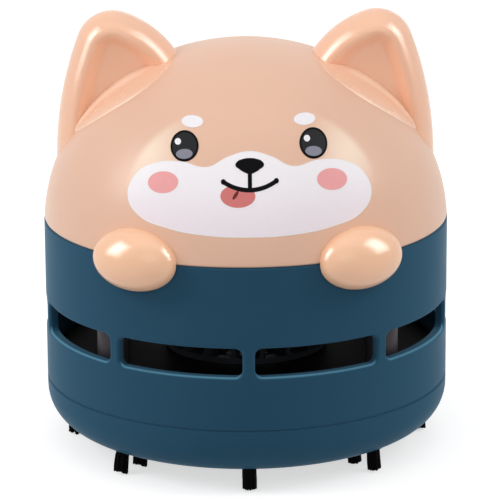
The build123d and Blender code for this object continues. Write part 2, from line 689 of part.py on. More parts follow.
# --- Paws: pebbles over the rim, pegged into the head and clear of the body ----------------------
for name, angle, line in zip(("left_paw", "right_paw"), (-PAW_ANGLE, PAW_ANGLE), paw_peg_lines):
    pebble = scale(Sphere(1.0, mode=Mode.PRIVATE), by=PAW_HALF, mode=Mode.PRIVATE)
    with BuildPart() as paw:
        with Locations(Location(around(PAW_RING, angle, PAW_Z), (0, 0, angle))):
            add(pebble)
        with Locations((0, 0, RIM_Z + 0.5)):
            Cylinder(
                BODY_R + 0.3, 30.0, align=(Align.CENTER, Align.CENTER, Align.MAX), mode=Mode.SUBTRACT
            )
        add(head_block.part, mode=Mode.SUBTRACT)
        with BuildSketch(line.offset(PAW_PEG_IN)):
            Circle(PAW_PEG_R)
        extrude(amount=PAW_PEG_L)
        with BuildSketch(line.offset(PAW_PEG_IN)):
            Circle(PILOT_R)
        extrude(amount=4.5, mode=Mode.SUBTRACT)
    finish(paw.part, name)

# --- Screws --------------------------------------------------------------------------------------
SCREW_HEAD_R = 1.9
SCREW_HEAD_H = 1.2
SCREW_R = 0.85
DRIVE_W = 2.4
DRIVE_T = 0.5
DRIVE_DEPTH = 0.6


def pan_screw(length):
    """A pan-head screw along Z: its head stands on z = 0 and its shank runs down from there."""
    with BuildPart() as piece:
        with BuildSketch():
            Circle(SCREW_HEAD_R)
        extrude(amount=SCREW_HEAD_H)
        with BuildSketch():
            Circle(SCREW_R)
        extrude(amount=-length)
        with BuildSketch(Plane.XY.offset(SCREW_HEAD_H)):
            Rectangle(DRIVE_W, DRIVE_T)
            Rectangle(DRIVE_T, DRIVE_W)
        extrude(amount=-DRIVE_DEPTH, mode=Mode.SUBTRACT)
    return piece.part


screw_sets = {
    "chassis_screws": (6.5, [Plane(around(BOSS_RING, a, CHASSIS_Z), z_dir=(0, 0, -1)) for a in BOSS_ANGLES]),
    "shroud_screws": (6.0, [Plane(around(POST_RING, a, SHROUD_Z), z_dir=(0, 0, -1)) for a in POST_ANGLES]),
    "tray_screws": (
        6.0,
        [Plane((x * TRAY_POST_X, y * TRAY_POST_Y, TRAY_Z + TRAY_T)) for x in (-1, 1) for y in (-1, 1)],
    ),
    "ear_screws": (
        4.5,
        [Plane((s * x, 0, low), z_dir=(0, 0, -1)) for x, low in EAR_PEGS for s in (-1, 1)],
    ),
    "paw_screws": (
        4.0,
        [
            Plane(around(PAW_PEG_IN, a, PAW_PEG_Z), z_dir=around(-1, a))
            for a in (-PAW_ANGLE, PAW_ANGLE)
        ],
    ),
}
for name, (length, places) in screw_sets.items():
    blank = pan_screw(length)
    with BuildPart() as screws:
        with Locations(*places):
            add(blank)
    finish(screws.part, name)
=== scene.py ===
"""Looks of a desktop mini vacuum cleaner with a puppy's head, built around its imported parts.

The head shell, the ears and the swells in front of them, the printed face, the bristles and the switch's
marks are modelled here. The body, the dust cup, the paws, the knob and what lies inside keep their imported
meshes and get their finishes here. Lengths are in metres; +Z is up, and the face looks along -Y.
"""

import logging
import math
import random
from collections.abc import Callable
from dataclasses import dataclass
from enum import Enum

import bmesh
import bpy
from mathutils import Matrix, Quaternion, Vector


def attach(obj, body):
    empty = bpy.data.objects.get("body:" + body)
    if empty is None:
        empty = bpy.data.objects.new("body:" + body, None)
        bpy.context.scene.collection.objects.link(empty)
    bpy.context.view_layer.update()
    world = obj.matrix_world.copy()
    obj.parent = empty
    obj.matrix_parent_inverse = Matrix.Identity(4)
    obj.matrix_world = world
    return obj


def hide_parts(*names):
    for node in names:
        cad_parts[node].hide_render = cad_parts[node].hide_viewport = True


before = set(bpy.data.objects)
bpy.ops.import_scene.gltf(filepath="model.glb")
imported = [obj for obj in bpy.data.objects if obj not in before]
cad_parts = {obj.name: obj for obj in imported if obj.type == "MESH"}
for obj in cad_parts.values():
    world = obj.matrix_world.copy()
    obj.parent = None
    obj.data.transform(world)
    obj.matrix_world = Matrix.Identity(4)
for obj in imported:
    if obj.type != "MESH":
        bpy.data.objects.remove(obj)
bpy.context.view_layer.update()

MM = 0.001
FULL_TURN = 2 * math.pi
QUARTER_TURN = math.pi / 2
WELD = 0.0005 * MM  # points nearer than this are one point
CREASE = math.radians(32)  # edges sharper than this stay sharp
WAVE = FULL_TURN / 20  # a wave texture repeats each time that its scaled length grows by this
SHARE, FIRST, SECOND, MIXED = 0, 6, 7, 2  # a Mix node's sockets for colours
LOG = logging.getLogger("vacuum")

Pair = tuple[float, float]
Object = bpy.types.Object
Node = bpy.types.Node
Socket = bpy.types.NodeSocket
Tree = bpy.types.NodeTree
Mesh = bmesh.types.BMesh


class Body(Enum):
    """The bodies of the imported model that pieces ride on."""

    BASE = "base"
    BODY = "body"
    HEAD = "head"


class Side(Enum):
    """A side of the object, as the sign of X."""

    LEFT = -1
    RIGHT = 1


# --- Nodes and colours ---------------------------------------------------------------------------
def linear(colour: str) -> tuple[float, float, float, float]:
    """Turns an sRGB hex value into the linear colour that sockets take.

    Args:
        colour: six hex digits after a hash.

    Returns:
        Linear red, green and blue, and an alpha of 1.
    """
    parts = [int(colour[i : i + 2], 16) / 255 for i in (1, 3, 5)]
    red, green, blue = (p / 12.92 if p <= 0.04045 else ((p + 0.055) / 1.055) ** 2.4 for p in parts)
    return red, green, blue, 1.0


def add_node(
    tree: Tree,
    kind: str,
    values: dict[int | str, object] | None = None,
    links: dict[int | str, Socket] | None = None,
    **settings: object,
) -> Node:
    """Adds a node to a tree.

    Args:
        tree: the tree that it goes into.
        kind: the node's type.
        values: what its unlinked sockets are set to.
        links: the outputs that its sockets are fed by.
        settings: the node's own properties.

    Returns:
        The new node.
    """
    node = tree.nodes.new(kind)
    for name, value in settings.items():
        setattr(node, name, value)
    for socket, value in (values or {}).items():
        node.inputs[socket].default_value = value
    for socket, source in (links or {}).items():
        tree.links.new(source, node.inputs[socket])
    return node


def within(tree: Tree, limits: tuple[tuple[Socket, float, float], ...]) -> Socket:
    """Tells how far a place lies within several soft limits at once.

    Args:
        tree: the tree to work it out in.
        limits: values, each with the one that is just outside and the one that is well inside.

    Returns:
        The share, from 0 where any limit is passed to 1.
    """
    shares = []
    for value, outside, inside in limits:
        share = add_node(
            tree,
            "ShaderNodeMapRange",
            {"From Min": outside, "From Max": inside},
            {"Value": value},
            interpolation_type="SMOOTHSTEP",
        )
        shares.append(share.outputs["Result"])
    amount = shares[0]
    for share in shares[1:]:
        product = add_node(tree, "ShaderNodeMath", links={0: amount, 1: share}, operation="MULTIPLY")
        amount = product.outputs[0]
    return amount


def bare_material(name: str) -> bpy.types.Material:
    """Makes a material without any nodes.

    Args:
        name: its name.

    Returns:
        The material.
    """
    made = bpy.data.materials.new(name)
    made.use_nodes = True
    made.node_tree.nodes.clear()
    return made


# --- Finishes ------------------------------------------------------------------------------------
@dataclass(frozen=True)
class Finish:
    """What every finish shares: a shader that reads the object's own coordinates."""

    name: str

    def material(self) -> bpy.types.Material:
        """Makes the material, or finds it if it is there already.

        Returns:
            The material.
        """
        made = bpy.data.materials.get(self.name)
        if made:
            return made
        made = bare_material(self.name)
        tree = made.node_tree
        place = add_node(tree, "ShaderNodeTexCoord").outputs["Object"]
        shader = add_node(tree, "ShaderNodeBsdfPrincipled")
        add_node(tree, "ShaderNodeOutputMaterial", links={"Surface": shader.outputs["BSDF"]})
        self.dress(tree, shader, place)
        return made

    def dress(self, tree: Tree, shader: Node, place: Socket) -> None:
        """Sets the shader up; each finish does it in its own way."""
        raise NotImplementedError


@dataclass(frozen=True)
class PolishedAbs(Finish):
    """Polished, moulded ABS: it mirrors the lamps, has a faint orange peel and lets a little light in."""

    colour: str
    cloud: str  # what the pigment drifts towards, in wide faint clouds
    roughness: float = 0.17
    index: float = 1.54
    glow: float = 0.0  # how much of the light passes under the surface
    glow_reach: float = 1.6 * MM
    glow_colours: tuple[float, float, float] = (1.0, 0.45, 0.25)  # red goes furthest, blue least
    cloud_size: float = 26 * MM
    handled_size: float = 9 * MM  # patches that hands have polished or dulled
    peel_size: float = 2.4 * MM
    peel_height: float = 0.0035 * MM

    def paint(self, tree: Tree, place: Socket) -> Socket:
        """Mixes the pigment.

        Args:
            tree: the material's tree.
            place: the object's coordinates.

        Returns:
            The colour.
        """
        clouds = add_node(
            tree,
            "ShaderNodeTexNoise",
            {"Scale": 1 / self.cloud_size, "Detail": 2.0, "Roughness": 0.45},
            {"Vector": place},
        )
        pigment = add_node(
            tree,
            "ShaderNodeMix",
            {FIRST: linear(self.colour), SECOND: linear(self.cloud)},
            {SHARE: clouds.outputs["Fac"]},
            data_type="RGBA",
        )
        return pigment.outputs[MIXED]

    def dress(self, tree: Tree, shader: Node, place: Socket) -> None:
        """Adds the orange peel, the handled patches of gloss and the glow under the surface.

        Args:
            tree: the material's tree.
            shader: its shader.
            place: the object's coordinates.
        """
        tree.links.new(self.paint(tree, place), shader.inputs["Base Color"])
        handling = add_node(
            tree,
            "ShaderNodeTexNoise",
            {"Scale": 1 / self.handled_size, "Detail": 3.0, "Roughness": 0.6},
            {"Vector": place},
        )
        polished, dulled = self.roughness - 0.02, self.roughness + 0.05
        gloss = add_node(
            tree,
            "ShaderNodeMapRange",
            {"From Min": 0.3, "From Max": 0.75, "To Min": polished, "To Max": dulled},
            {"Value": handling.outputs["Fac"]},
        )
        tree.links.new(gloss.outputs["Result"], shader.inputs["Roughness"])
        peel = add_node(
            tree,
            "ShaderNodeTexNoise",
            {"Scale": 1 / self.peel_size, "Detail": 1.5, "Roughness": 0.4},
            {"Vector": place},
        )
        bump = add_node(
            tree, "ShaderNodeBump", {"Distance": self.peel_height}, {"Height": peel.outputs["Fac"]}
        )
        tree.links.new(bump.outputs["Normal"], shader.inputs["Normal"])
        shader.inputs["IOR"].default_value = self.index
        shader.inputs["Subsurface Weight"].default_value = self.glow
        shader.inputs["Subsurface Radius"].default_value = self.glow_colours
        shader.inputs["Subsurface Scale"].default_value = self.glow_reach


@dataclass(frozen=True)
class HeadAbs(PolishedAbs):
    """The head's satin ABS, with cream sprayed beside and above the muzzle; the cream is partly a painted
    highlight there.

    The spray ends at the edge of an oval mask, which gives the face its pale surround.
    """

    # cream paint that is partly a painted highlight beside the muzzle
    cream_and_highlight: str = "#FBE0C8"
    centre: Pair = (0.9 * MM, 60.0 * MM)  # the oval's middle, across and up
    half: Pair = (25.4 * MM, 18.5 * MM)
    mask: Pair = (1.03, 0.96)  # the spray stops between these shares of the way to the oval's edge
    across: Pair = (10.0 * MM, 21.0 * MM)  # the cream and its painted highlight come in between these, off the middle
    up: Pair = (60.5 * MM, 71.0 * MM)  # and between these heights

    def paint(self, tree: Tree, place: Socket) -> Socket:
        """Sprays the cream, which is partly a painted highlight, over the pigment.

        Args:
            tree: the material's tree.
            place: the object's coordinates.

        Returns:
            The colour.
        """
        axes = add_node(tree, "ShaderNodeSeparateXYZ", links={"Vector": place})
        oval = add_node(
            tree,
            "ShaderNodeMapping",
            {
                "Location": (-self.centre[0] / self.half[0], 0.0, -self.centre[1] / self.half[1]),
                "Scale": (1 / self.half[0], 0.0, 1 / self.half[1]),
            },
            {"Vector": place},
        )
        reach = add_node(
            tree, "ShaderNodeVectorMath", links={0: oval.outputs["Vector"]}, operation="LENGTH"
        )
        off_middle = add_node(
            tree, "ShaderNodeMath", {1: self.centre[0]}, {0: axes.outputs["X"]}, operation="SUBTRACT"
        )
        across = add_node(tree, "ShaderNodeMath", links={0: off_middle.outputs[0]}, operation="ABSOLUTE")
        amount = within(
            tree,
            (
                (reach.outputs["Value"], *self.mask),
                (across.outputs[0], *self.across),
                (axes.outputs["Z"], *self.up),
            ),
        )
        front = add_node(tree, "ShaderNodeMath", {1: 0.0}, {0: axes.outputs["Y"]}, operation="LESS_THAN")
        # where the cream and its painted highlight go
        cream_and_highlight_share = add_node(
            tree, "ShaderNodeMath", links={0: amount, 1: front.outputs[0]}, operation="MULTIPLY"
        )
        mixed = add_node(
            tree,
            "ShaderNodeMix",
            {SECOND: linear(self.cream_and_highlight)},
            {SHARE: cream_and_highlight_share.outputs[0], FIRST: super().paint(tree, place)},
            data_type="RGBA",
        )
        return mixed.outputs[MIXED]


@dataclass(frozen=True)
class LipAbs(PolishedAbs):
    """The ABS of the swells in front of the ears.

    Painted highlights lie pale along their crests and feet.
    """

    # colour of the painted highlight along the crests and feet
    pale: str = "#FFDCC4"

    def paint(self, tree: Tree, place: Socket) -> Socket:
        """Lays the painted highlight lines over the pigment.

        Args:
            tree: the material's tree.
            place: the object's coordinates.

        Returns:
            The colour.
        """
        # the edge attribute holds the painted highlight's share
        edge = add_node(tree, "ShaderNodeAttribute", attribute_name="edge", attribute_type="GEOMETRY")
        mixed = add_node(
            tree,
            "ShaderNodeMix",
            {SECOND: linear(self.pale)},
            {SHARE: edge.outputs["Fac"], FIRST: super().paint(tree, place)},
            data_type="RGBA",
        )
        return mixed.outputs[MIXED]


@dataclass(frozen=True)
class SlotHighlightAbs(PolishedAbs):
    """The body's ABS, with a painted highlight on the slots' upward-facing lower lips, which draws a thin
    light line under each.
    """

    # colour of the painted highlight on the slots' lower lips
    lip_highlight: str = "#558AA3"
    outside: float = 41.75 * MM  # only edges further out than this get the painted highlight
    above: float = 18.0 * MM
    below: float = 43.0 * MM
    fade: float = 0.3 * MM
    upward: Pair = (0.35, 0.9)  # how far up a face has to look to get the painted highlight, and to get it fully
    bloom: float = 0.22  # a faint dusty bloom that lifts the colour where the wall turns away
    bloom_tint: str = "#95DAFF"

    def paint(self, tree: Tree, place: Socket) -> Socket:
        """Paints a highlight on the edges that face up.

        Args:
            tree: the material's tree.
            place: the object's coordinates.

        Returns:
            The colour.
        """
        facing = add_node(tree, "ShaderNodeTexCoord").outputs["Normal"]
        up = add_node(tree, "ShaderNodeSeparateXYZ", links={"Vector": facing})
        axes = add_node(tree, "ShaderNodeSeparateXYZ", links={"Vector": place})
        flat = add_node(tree, "ShaderNodeCombineXYZ", links={0: axes.outputs["X"], 1: axes.outputs["Y"]})
        reach = add_node(tree, "ShaderNodeVectorMath", links={0: flat.outputs[0]}, operation="LENGTH")
        amount = within(
            tree,
            (
                (up.outputs["Z"], *self.upward),
                (reach.outputs["Value"], self.outside, self.outside + self.fade),
                (axes.outputs["Z"], self.above, self.above + self.fade),
                (axes.outputs["Z"], self.below, self.below - self.fade),
            ),
        )
        mixed = add_node(
            tree,
            "ShaderNodeMix",
            {SECOND: linear(self.lip_highlight)},
            {SHARE: amount, FIRST: super().paint(tree, place)},
            data_type="RGBA",
        )
        return mixed.outputs[MIXED]

    def dress(self, tree: Tree, shader: Node, place: Socket) -> None:
        """Adds the bloom.

        Args:
            tree: the material's tree.
            shader: its shader.
            place: the object's coordinates.
        """
        super().dress(tree, shader, place)
        shader.inputs["Sheen Weight"].default_value = self.bloom
        shader.inputs["Sheen Roughness"].default_value = 0.8
        shader.inputs["Sheen Tint"].default_value = linear(self.bloom_tint)


@dataclass(frozen=True)
class PadInk(Finish):
    """Pad-printed ink: a thin smooth film, a little less glossy than the plastic and faintly mottled."""

    colour: str
    low_colour: str = ""  # what it fades to towards the chin, if it fades
    roughness: float = 0.3
    index: float = 1.25
    mottle: float = 0.05  # how much of the colour the thin spots lose
    mottle_size: float = 1.1 * MM
    mottle_height: float = 0.002 * MM
    fade: Pair = (56.0 * MM, 67.0 * MM)  # it fades between these heights

    def dress(self, tree: Tree, shader: Node, place: Socket) -> None:
        """Adds the mottled film, whose colour may fade with the height.

        Args:
            tree: the material's tree.
            shader: its shader.
            place: the object's coordinates.
        """
        axes = add_node(tree, "ShaderNodeSeparateXYZ", links={"Vector": place})
        faded = add_node(
            tree,
            "ShaderNodeMix",
            {FIRST: linear(self.low_colour or self.colour), SECOND: linear(self.colour)},
            {SHARE: within(tree, ((axes.outputs["Z"], *self.fade),))},
            data_type="RGBA",
        )
        film = add_node(
            tree,
            "ShaderNodeTexNoise",
            {"Scale": 1 / self.mottle_size, "Detail": 4.0, "Roughness": 0.65},
            {"Vector": place},
        )
        thin = add_node(
            tree,
            "ShaderNodeMapRange",
            {"From Min": 0.35, "From Max": 0.8, "To Min": 1.0, "To Max": 1 - self.mottle},
            {"Value": film.outputs["Fac"]},
        )
        colour = add_node(
            tree,
            "ShaderNodeMix",
            {SHARE: 1.0},
            {FIRST: faded.outputs[MIXED], SECOND: thin.outputs["Result"]},
            data_type="RGBA",
            blend_type="MULTIPLY",
        )
        tree.links.new(colour.outputs[MIXED], shader.inputs["Base Color"])
        bump = add_node(
            tree, "ShaderNodeBump", {"Distance": self.mottle_height}, {"Height": film.outputs["Fac"]}
        )
        tree.links.new(bump.outputs["Normal"], shader.inputs["Normal"])
        shader.inputs["Roughness"].default_value = self.roughness
        shader.inputs["IOR"].default_value = self.index


@dataclass(frozen=True)
class GrainedPlastic(Finish):
    """Moulded plastic from a spark-eroded tool: a fine even grain that scatters every highlight."""

    colour: str
    roughness: float = 0.5
    index: float = 1.4
    grain_size: float = 0.35 * MM  # coarser than the real 0.1 mm, so that it shows
    grain_height: float = 0.012 * MM
    drift: float = 0.14  # how much darker the pigment gets in wide patches
    drift_size: float = 12 * MM

    def dress(self, tree: Tree, shader: Node, place: Socket) -> None:
        """Adds the grain and a faint drift of the pigment.

        Args:
            tree: the material's tree.
            shader: its shader.
            place: the object's coordinates.
        """
        grain = add_node(
            tree,
            "ShaderNodeTexNoise",
            {"Scale": 1 / self.grain_size, "Detail": 2.0, "Roughness": 0.6},
            {"Vector": place},
        )
        bump = add_node(
            tree,
            "ShaderNodeBump",
            {"Strength": 0.8, "Distance": self.grain_height},
            {"Height": grain.outputs["Fac"]},
        )
        tree.links.new(bump.outputs["Normal"], shader.inputs["Normal"])
        patches = add_node(
            tree, "ShaderNodeTexNoise", {"Scale": 1 / self.drift_size, "Detail": 3.0}, {"Vector": place}
        )
        shade = add_node(
            tree,
            "ShaderNodeMapRange",
            {"From Min": 0.3, "From Max": 0.7, "To Min": 1 - self.drift},
            {"Value": patches.outputs["Fac"]},
        )
        colour = add_node(
            tree,
            "ShaderNodeMix",
            {SHARE: 1.0, FIRST: linear(self.colour)},
            {SECOND: shade.outputs["Result"]},
            data_type="RGBA",
            blend_type="MULTIPLY",
        )
        tree.links.new(colour.outputs[MIXED], shader.inputs["Base Color"])
        shader.inputs["Roughness"].default_value = self.roughness
        shader.inputs["IOR"].default_value = self.index


@dataclass(frozen=True)
class Nylon(Finish):
    """Extruded black nylon hair: dark, with a dull sheen along each hair and a little dust at the tips."""

    colour: str = "#040406"
    dust: str = "#141312"
    dust_top: float = 1.2 * MM  # the tips pick dust up to this height
    dust_share: float = 0.6
    hair_size: float = 0.5 * MM
    roughness: float = 0.55
    index: float = 1.12

    def dress(self, tree: Tree, shader: Node, place: Socket) -> None:
        """Adds the dusty tips and uneven hair.

        Args:
            tree: the material's tree.
            shader: its shader.
            place: the object's coordinates.
        """
        axes = add_node(tree, "ShaderNodeSeparateXYZ", links={"Vector": place})
        low = add_node(
            tree,
            "ShaderNodeMapRange",
            {"From Max": self.dust_top, "To Min": self.dust_share, "To Max": 0.0},
            {"Value": axes.outputs["Z"]},
        )
        hair = add_node(
            tree, "ShaderNodeTexNoise", {"Scale": 1 / self.hair_size, "Detail": 1.0}, {"Vector": place}
        )
        dusty = add_node(
            tree,
            "ShaderNodeMath",
            links={0: low.outputs["Result"], 1: hair.outputs["Fac"]},
            operation="MULTIPLY",
        )
        colour = add_node(
            tree,
            "ShaderNodeMix",
            {FIRST: linear(self.colour), SECOND: linear(self.dust)},
            {SHARE: dusty.outputs[0]},
            data_type="RGBA",
        )
        tree.links.new(colour.outputs[MIXED], shader.inputs["Base Color"])
        shader.inputs["Roughness"].default_value = self.roughness
        shader.inputs["IOR"].default_value = self.index


@dataclass(frozen=True)
class PlainMetal(Finish):
    """Drawn, ground or stamped metal: fine lines along one axis spread its highlights."""

    colour: str
    roughness: float = 0.3
    line_size: float = 0.12 * MM
    line_height: float = 0.004 * MM
    line_shade: float = 0.8  # the lines take the colour down to this share of itself
    stretch: tuple[float, float, float] = (1.0, 1.0, 0.04)  # the lines run along the smallest

    def dress(self, tree: Tree, shader: Node, place: Socket) -> None:
        """Adds the lines, in the bump, the roughness and the colour.

        Args:
            tree: the material's tree.
            shader: its shader.
            place: the object's coordinates.
        """
        along = add_node(tree, "ShaderNodeMapping", {"Scale": self.stretch}, {"Vector": place})
        lines = add_node(
            tree,
            "ShaderNodeTexNoise",
            {"Scale": 1 / self.line_size, "Detail": 3.0, "Roughness": 0.7},
            {"Vector": along.outputs["Vector"]},
        )
        bump = add_node(
            tree,
            "ShaderNodeBump",
            {"Strength": 0.5, "Distance": self.line_height},
            {"Height": lines.outputs["Fac"]},
        )
        tree.links.new(bump.outputs["Normal"], shader.inputs["Normal"])
        bright, dull = self.roughness - 0.06, self.roughness + 0.1
        gloss = add_node(
            tree,
            "ShaderNodeMapRange",
            {"From Min": 0.3, "From Max": 0.7, "To Min": bright, "To Max": dull},
            {"Value": lines.outputs["Fac"]},
        )
        tree.links.new(gloss.outputs["Result"], shader.inputs["Roughness"])
        colour = linear(self.colour)
        shaded = tuple(self.line_shade * part for part in colour[:3]) + (1.0,)
        tint = add_node(
            tree,
            "ShaderNodeMix",
            {FIRST: colour, SECOND: shaded},
            {SHARE: lines.outputs["Fac"]},
            data_type="RGBA",
        )
        tree.links.new(tint.outputs[MIXED], shader.inputs["Base Color"])
        shader.inputs["Metallic"].default_value = 1.0


@dataclass(frozen=True)
class WovenCloth(Finish):
    """Woven polyester filter cloth: threads over and under each other, with dark holes between them."""

    thread: str
    hole: str
    pitch: float = 0.7 * MM  # coarser than the real 0.2 mm, so that the weave shows
    thread_height: float = 0.05 * MM
    roughness: float = 0.75

    def dress(self, tree: Tree, shader: Node, place: Socket) -> None:
        """Adds the two sets of threads.

        Args:
            tree: the material's tree.
            shader: its shader.
            place: the object's coordinates.
        """
        threads = [
            add_node(
                tree,
                "ShaderNodeTexWave",
                {"Scale": WAVE / self.pitch},
                {"Vector": place},
                wave_type="BANDS",
                bands_direction=direction,
            ).outputs["Fac"]
            for direction in ("X", "Y")
        ]
        weave = add_node(
            tree, "ShaderNodeMath", links={0: threads[0], 1: threads[1]}, operation="MAXIMUM"
        )
        colour = add_node(
            tree,
            "ShaderNodeMix",
            {FIRST: linear(self.hole), SECOND: linear(self.thread)},
            {SHARE: weave.outputs[0]},
            data_type="RGBA",
        )
        tree.links.new(colour.outputs[MIXED], shader.inputs["Base Color"])
        bump = add_node(
            tree, "ShaderNodeBump", {"Distance": self.thread_height}, {"Height": weave.outputs[0]}
        )
        tree.links.new(bump.outputs["Normal"], shader.inputs["Normal"])
        shader.inputs["Roughness"].default_value = self.roughness


@dataclass(frozen=True)
class CellSleeve(Finish):
    """A dry cell: a plain two-tone shrink sleeve round its can, with bare nickel-plated ends."""

    wide: str = "#20242B"
    band: str = "#B9823C"
    nickel: str = "#C9C8C4"
    sleeve_end: float = 24.2 * MM  # the sleeve stops this far each way from the middle
    band_start: float = 13.5 * MM
    positive: Side = Side.RIGHT  # where the positive end is
    scuff_size: float = 3 * MM
    roughness: Pair = (0.22, 0.38)  # of the shiny and of the scuffed places

    def dress(self, tree: Tree, shader: Node, place: Socket) -> None:
        """Adds the sleeve's two tones, its ends and a few scuffs.

        Args:
            tree: the material's tree.
            shader: its shader.
            place: the object's coordinates.
        """
        axes = add_node(tree, "ShaderNodeSeparateXYZ", links={"Vector": place})
        toward = add_node(
            tree,
            "ShaderNodeMath",
            {1: float(self.positive.value)},
            {0: axes.outputs["X"]},
            operation="MULTIPLY",
        )
        banded = add_node(
            tree, "ShaderNodeMath", {1: self.band_start}, {0: toward.outputs[0]}, operation="GREATER_THAN"
        )
        sleeve = add_node(
            tree,
            "ShaderNodeMix",
            {FIRST: linear(self.wide), SECOND: linear(self.band)},
            {SHARE: banded.outputs[0]},
            data_type="RGBA",
        )
        far = add_node(tree, "ShaderNodeMath", links={0: axes.outputs["X"]}, operation="ABSOLUTE")
        bare = add_node(
            tree, "ShaderNodeMath", {1: self.sleeve_end}, {0: far.outputs[0]}, operation="GREATER_THAN"
        )
        colour = add_node(
            tree,
            "ShaderNodeMix",
            {SECOND: linear(self.nickel)},
            {SHARE: bare.outputs[0], FIRST: sleeve.outputs[MIXED]},
            data_type="RGBA",
        )
        tree.links.new(colour.outputs[MIXED], shader.inputs["Base Color"])
        tree.links.new(bare.outputs[0], shader.inputs["Metallic"])
        scuffs = add_node(
            tree,
            "ShaderNodeTexNoise",
            {"Scale": 1 / self.scuff_size, "Detail": 4.0, "Roughness": 0.7},
            {"Vector": place},
        )
        gloss = add_node(
            tree,
            "ShaderNodeMapRange",
            {"From Min": 0.3, "From Max": 0.7, "To Min": self.roughness[0], "To Max": self.roughness[1]},
            {"Value": scuffs.outputs["Fac"]},
        )
        tree.links.new(gloss.outputs["Result"], shader.inputs["Roughness"])


@dataclass(frozen=True)
class Winding(Finish):
    """Varnished copper wire wound over steel laminations: fine bright rings across a dark stack."""

    copper: str = "#B4622F"
    varnish: str = "#3A1D10"
    wire: float = 0.5 * MM
    wire_height: float = 0.06 * MM
    metallic: float = 0.7  # the varnish takes some of the metal's shine
    roughness: float = 0.38

    def dress(self, tree: Tree, shader: Node, place: Socket) -> None:
        """Adds the turns of wire.

        Args:
            tree: the material's tree.
            shader: its shader.
            place: the object's coordinates.
        """
        turns = add_node(
            tree,
            "ShaderNodeTexWave",
            {"Scale": WAVE / self.wire, "Distortion": 0.6, "Detail": 2.0},
            {"Vector": place},
            wave_type="BANDS",
            bands_direction="Z",
        )
        colour = add_node(
            tree,
            "ShaderNodeMix",
            {FIRST: linear(self.varnish), SECOND: linear(self.copper)},
            {SHARE: turns.outputs["Fac"]},
            data_type="RGBA",
        )
        tree.links.new(colour.outputs[MIXED], shader.inputs["Base Color"])
        bump = add_node(
            tree, "ShaderNodeBump", {"Distance": self.wire_height}, {"Height": turns.outputs["Fac"]}
        )
        tree.links.new(bump.outputs["Normal"], shader.inputs["Normal"])
        shader.inputs["Metallic"].default_value = self.metallic
        shader.inputs["Roughness"].default_value = self.roughness


PEACH = HeadAbs("Head_ABS_satin_peach", "#ECC0A6", "#E8BA9F", roughness=0.34, glow=0.08)
PAW_PEACH = PolishedAbs("Paw_ABS_gloss_peach", "#FFCBA7", "#FDC6A0", roughness=0.19, glow=0.06)
EAR_PEACH = PolishedAbs("Ear_ABS_gloss_peach", "#FDC8A9", "#FAC3A2", roughness=0.19, glow=0.05)
LIP_PEACH = LipAbs("Ear_lip_ABS_gloss_peach", "#F7C7AA", "#F5C2A4", roughness=0.25)
TEAL = SlotHighlightAbs("Body_ABS_teal", "#193C54", "#1E4157", roughness=0.35, index=1.06)
INK_WHITE = PadInk("Ink_white", "#FAF6FA")
INK_LILAC = PadInk("Ink_lilac_white", "#FDF8FB", "#FAEFF6", mottle=0.02)
INK_BLACK = PadInk("Ink_black", "#08080B", index=1.15)
INK_CHARCOAL = PadInk("Ink_charcoal", "#202124")
INK_GREY = PadInk("Ink_grey", "#8C8C99")
INK_ROSE = PadInk("Ink_rose", "#F9ADAD")
INK_RED = PadInk("Ink_tongue", "#DB7E7A")
INK_BROWN = PadInk("Ink_brown", "#6B2C2A")
BLACK_ABS = GrainedPlastic("Inner_ABS_black", "#151517")
# darker than the other black ABS: painted shade on the shroud seen through the slots
SHROUD_ABS = GrainedPlastic("Shroud_ABS_black", "#100F12", roughness=0.6, index=1.2)
CHASSIS_ABS = GrainedPlastic("Chassis_ABS_brown_black", "#3A353A", roughness=0.45)
KNOB_ABS = GrainedPlastic("Knob_ABS_black", "#1A1B1D", roughness=0.4)
# black ABS made a lighter blue-grey: painted light and painted teal bounce light inside the body
FAN_ABS = GrainedPlastic("Fan_ABS_charcoal", "#34383F", roughness=0.42)
POLYPROPYLENE = GrainedPlastic("Filter_frame_polypropylene", "#D9DCE0", roughness=0.45, index=1.49)
RUBBER = GrainedPlastic("Seal_rubber", "#101011", roughness=0.75, grain_size=0.5 * MM)
FERRITE = GrainedPlastic("Magnet_ferrite", "#2B2B2D", roughness=0.6)
CLOTH = WovenCloth("Filter_polyester_weave", "#D3D5D8", "#55585C")
NYLON = Nylon("Bristle_nylon")
DRAWN_STEEL = PlainMetal("Shaft_steel", "#B4B5B8", roughness=0.2)
CAN_STEEL = PlainMetal("Motor_can_zinc_plated_steel", "#B0B2B4", roughness=0.33)
SPRING_STEEL = PlainMetal("Contact_nickel_plated_steel", "#C4C2BC", roughness=0.25)
SCREW_STEEL = PlainMetal("Screw_zinc_plated_steel", "#A9AAAD", roughness=0.3)
BRASS = PlainMetal("Terminal_brass", "#C79A4B", roughness=0.3)
WINDING = Winding("Rotor_winding")
FRONT_SLEEVE = CellSleeve("Front_cell_sleeve", positive=Side.LEFT)
REAR_SLEEVE = CellSleeve("Rear_cell_sleeve", positive=Side.RIGHT)


# --- Making pieces -------------------------------------------------------------------------------
def add_object(name: str, data: bpy.types.ID) -> Object:
    """Adds an object to the scene.

    Args:
        name: its name.
        data: its mesh, lamp or camera.

    Returns:
        The object.
    """
    made = bpy.data.objects.new(name, data)
    bpy.context.scene.collection.objects.link(made)
    return made


def make_object(shape: Mesh, name: str) -> Object:
    """Turns a bmesh into an object at the origin and frees the bmesh.

    Args:
        shape: the bmesh.
        name: the object's name.

    Returns:
        The object, in the scene.
    """
    mesh = bpy.data.meshes.new(name)
    shape.to_mesh(mesh)
    shape.free()
    return add_object(name, mesh)


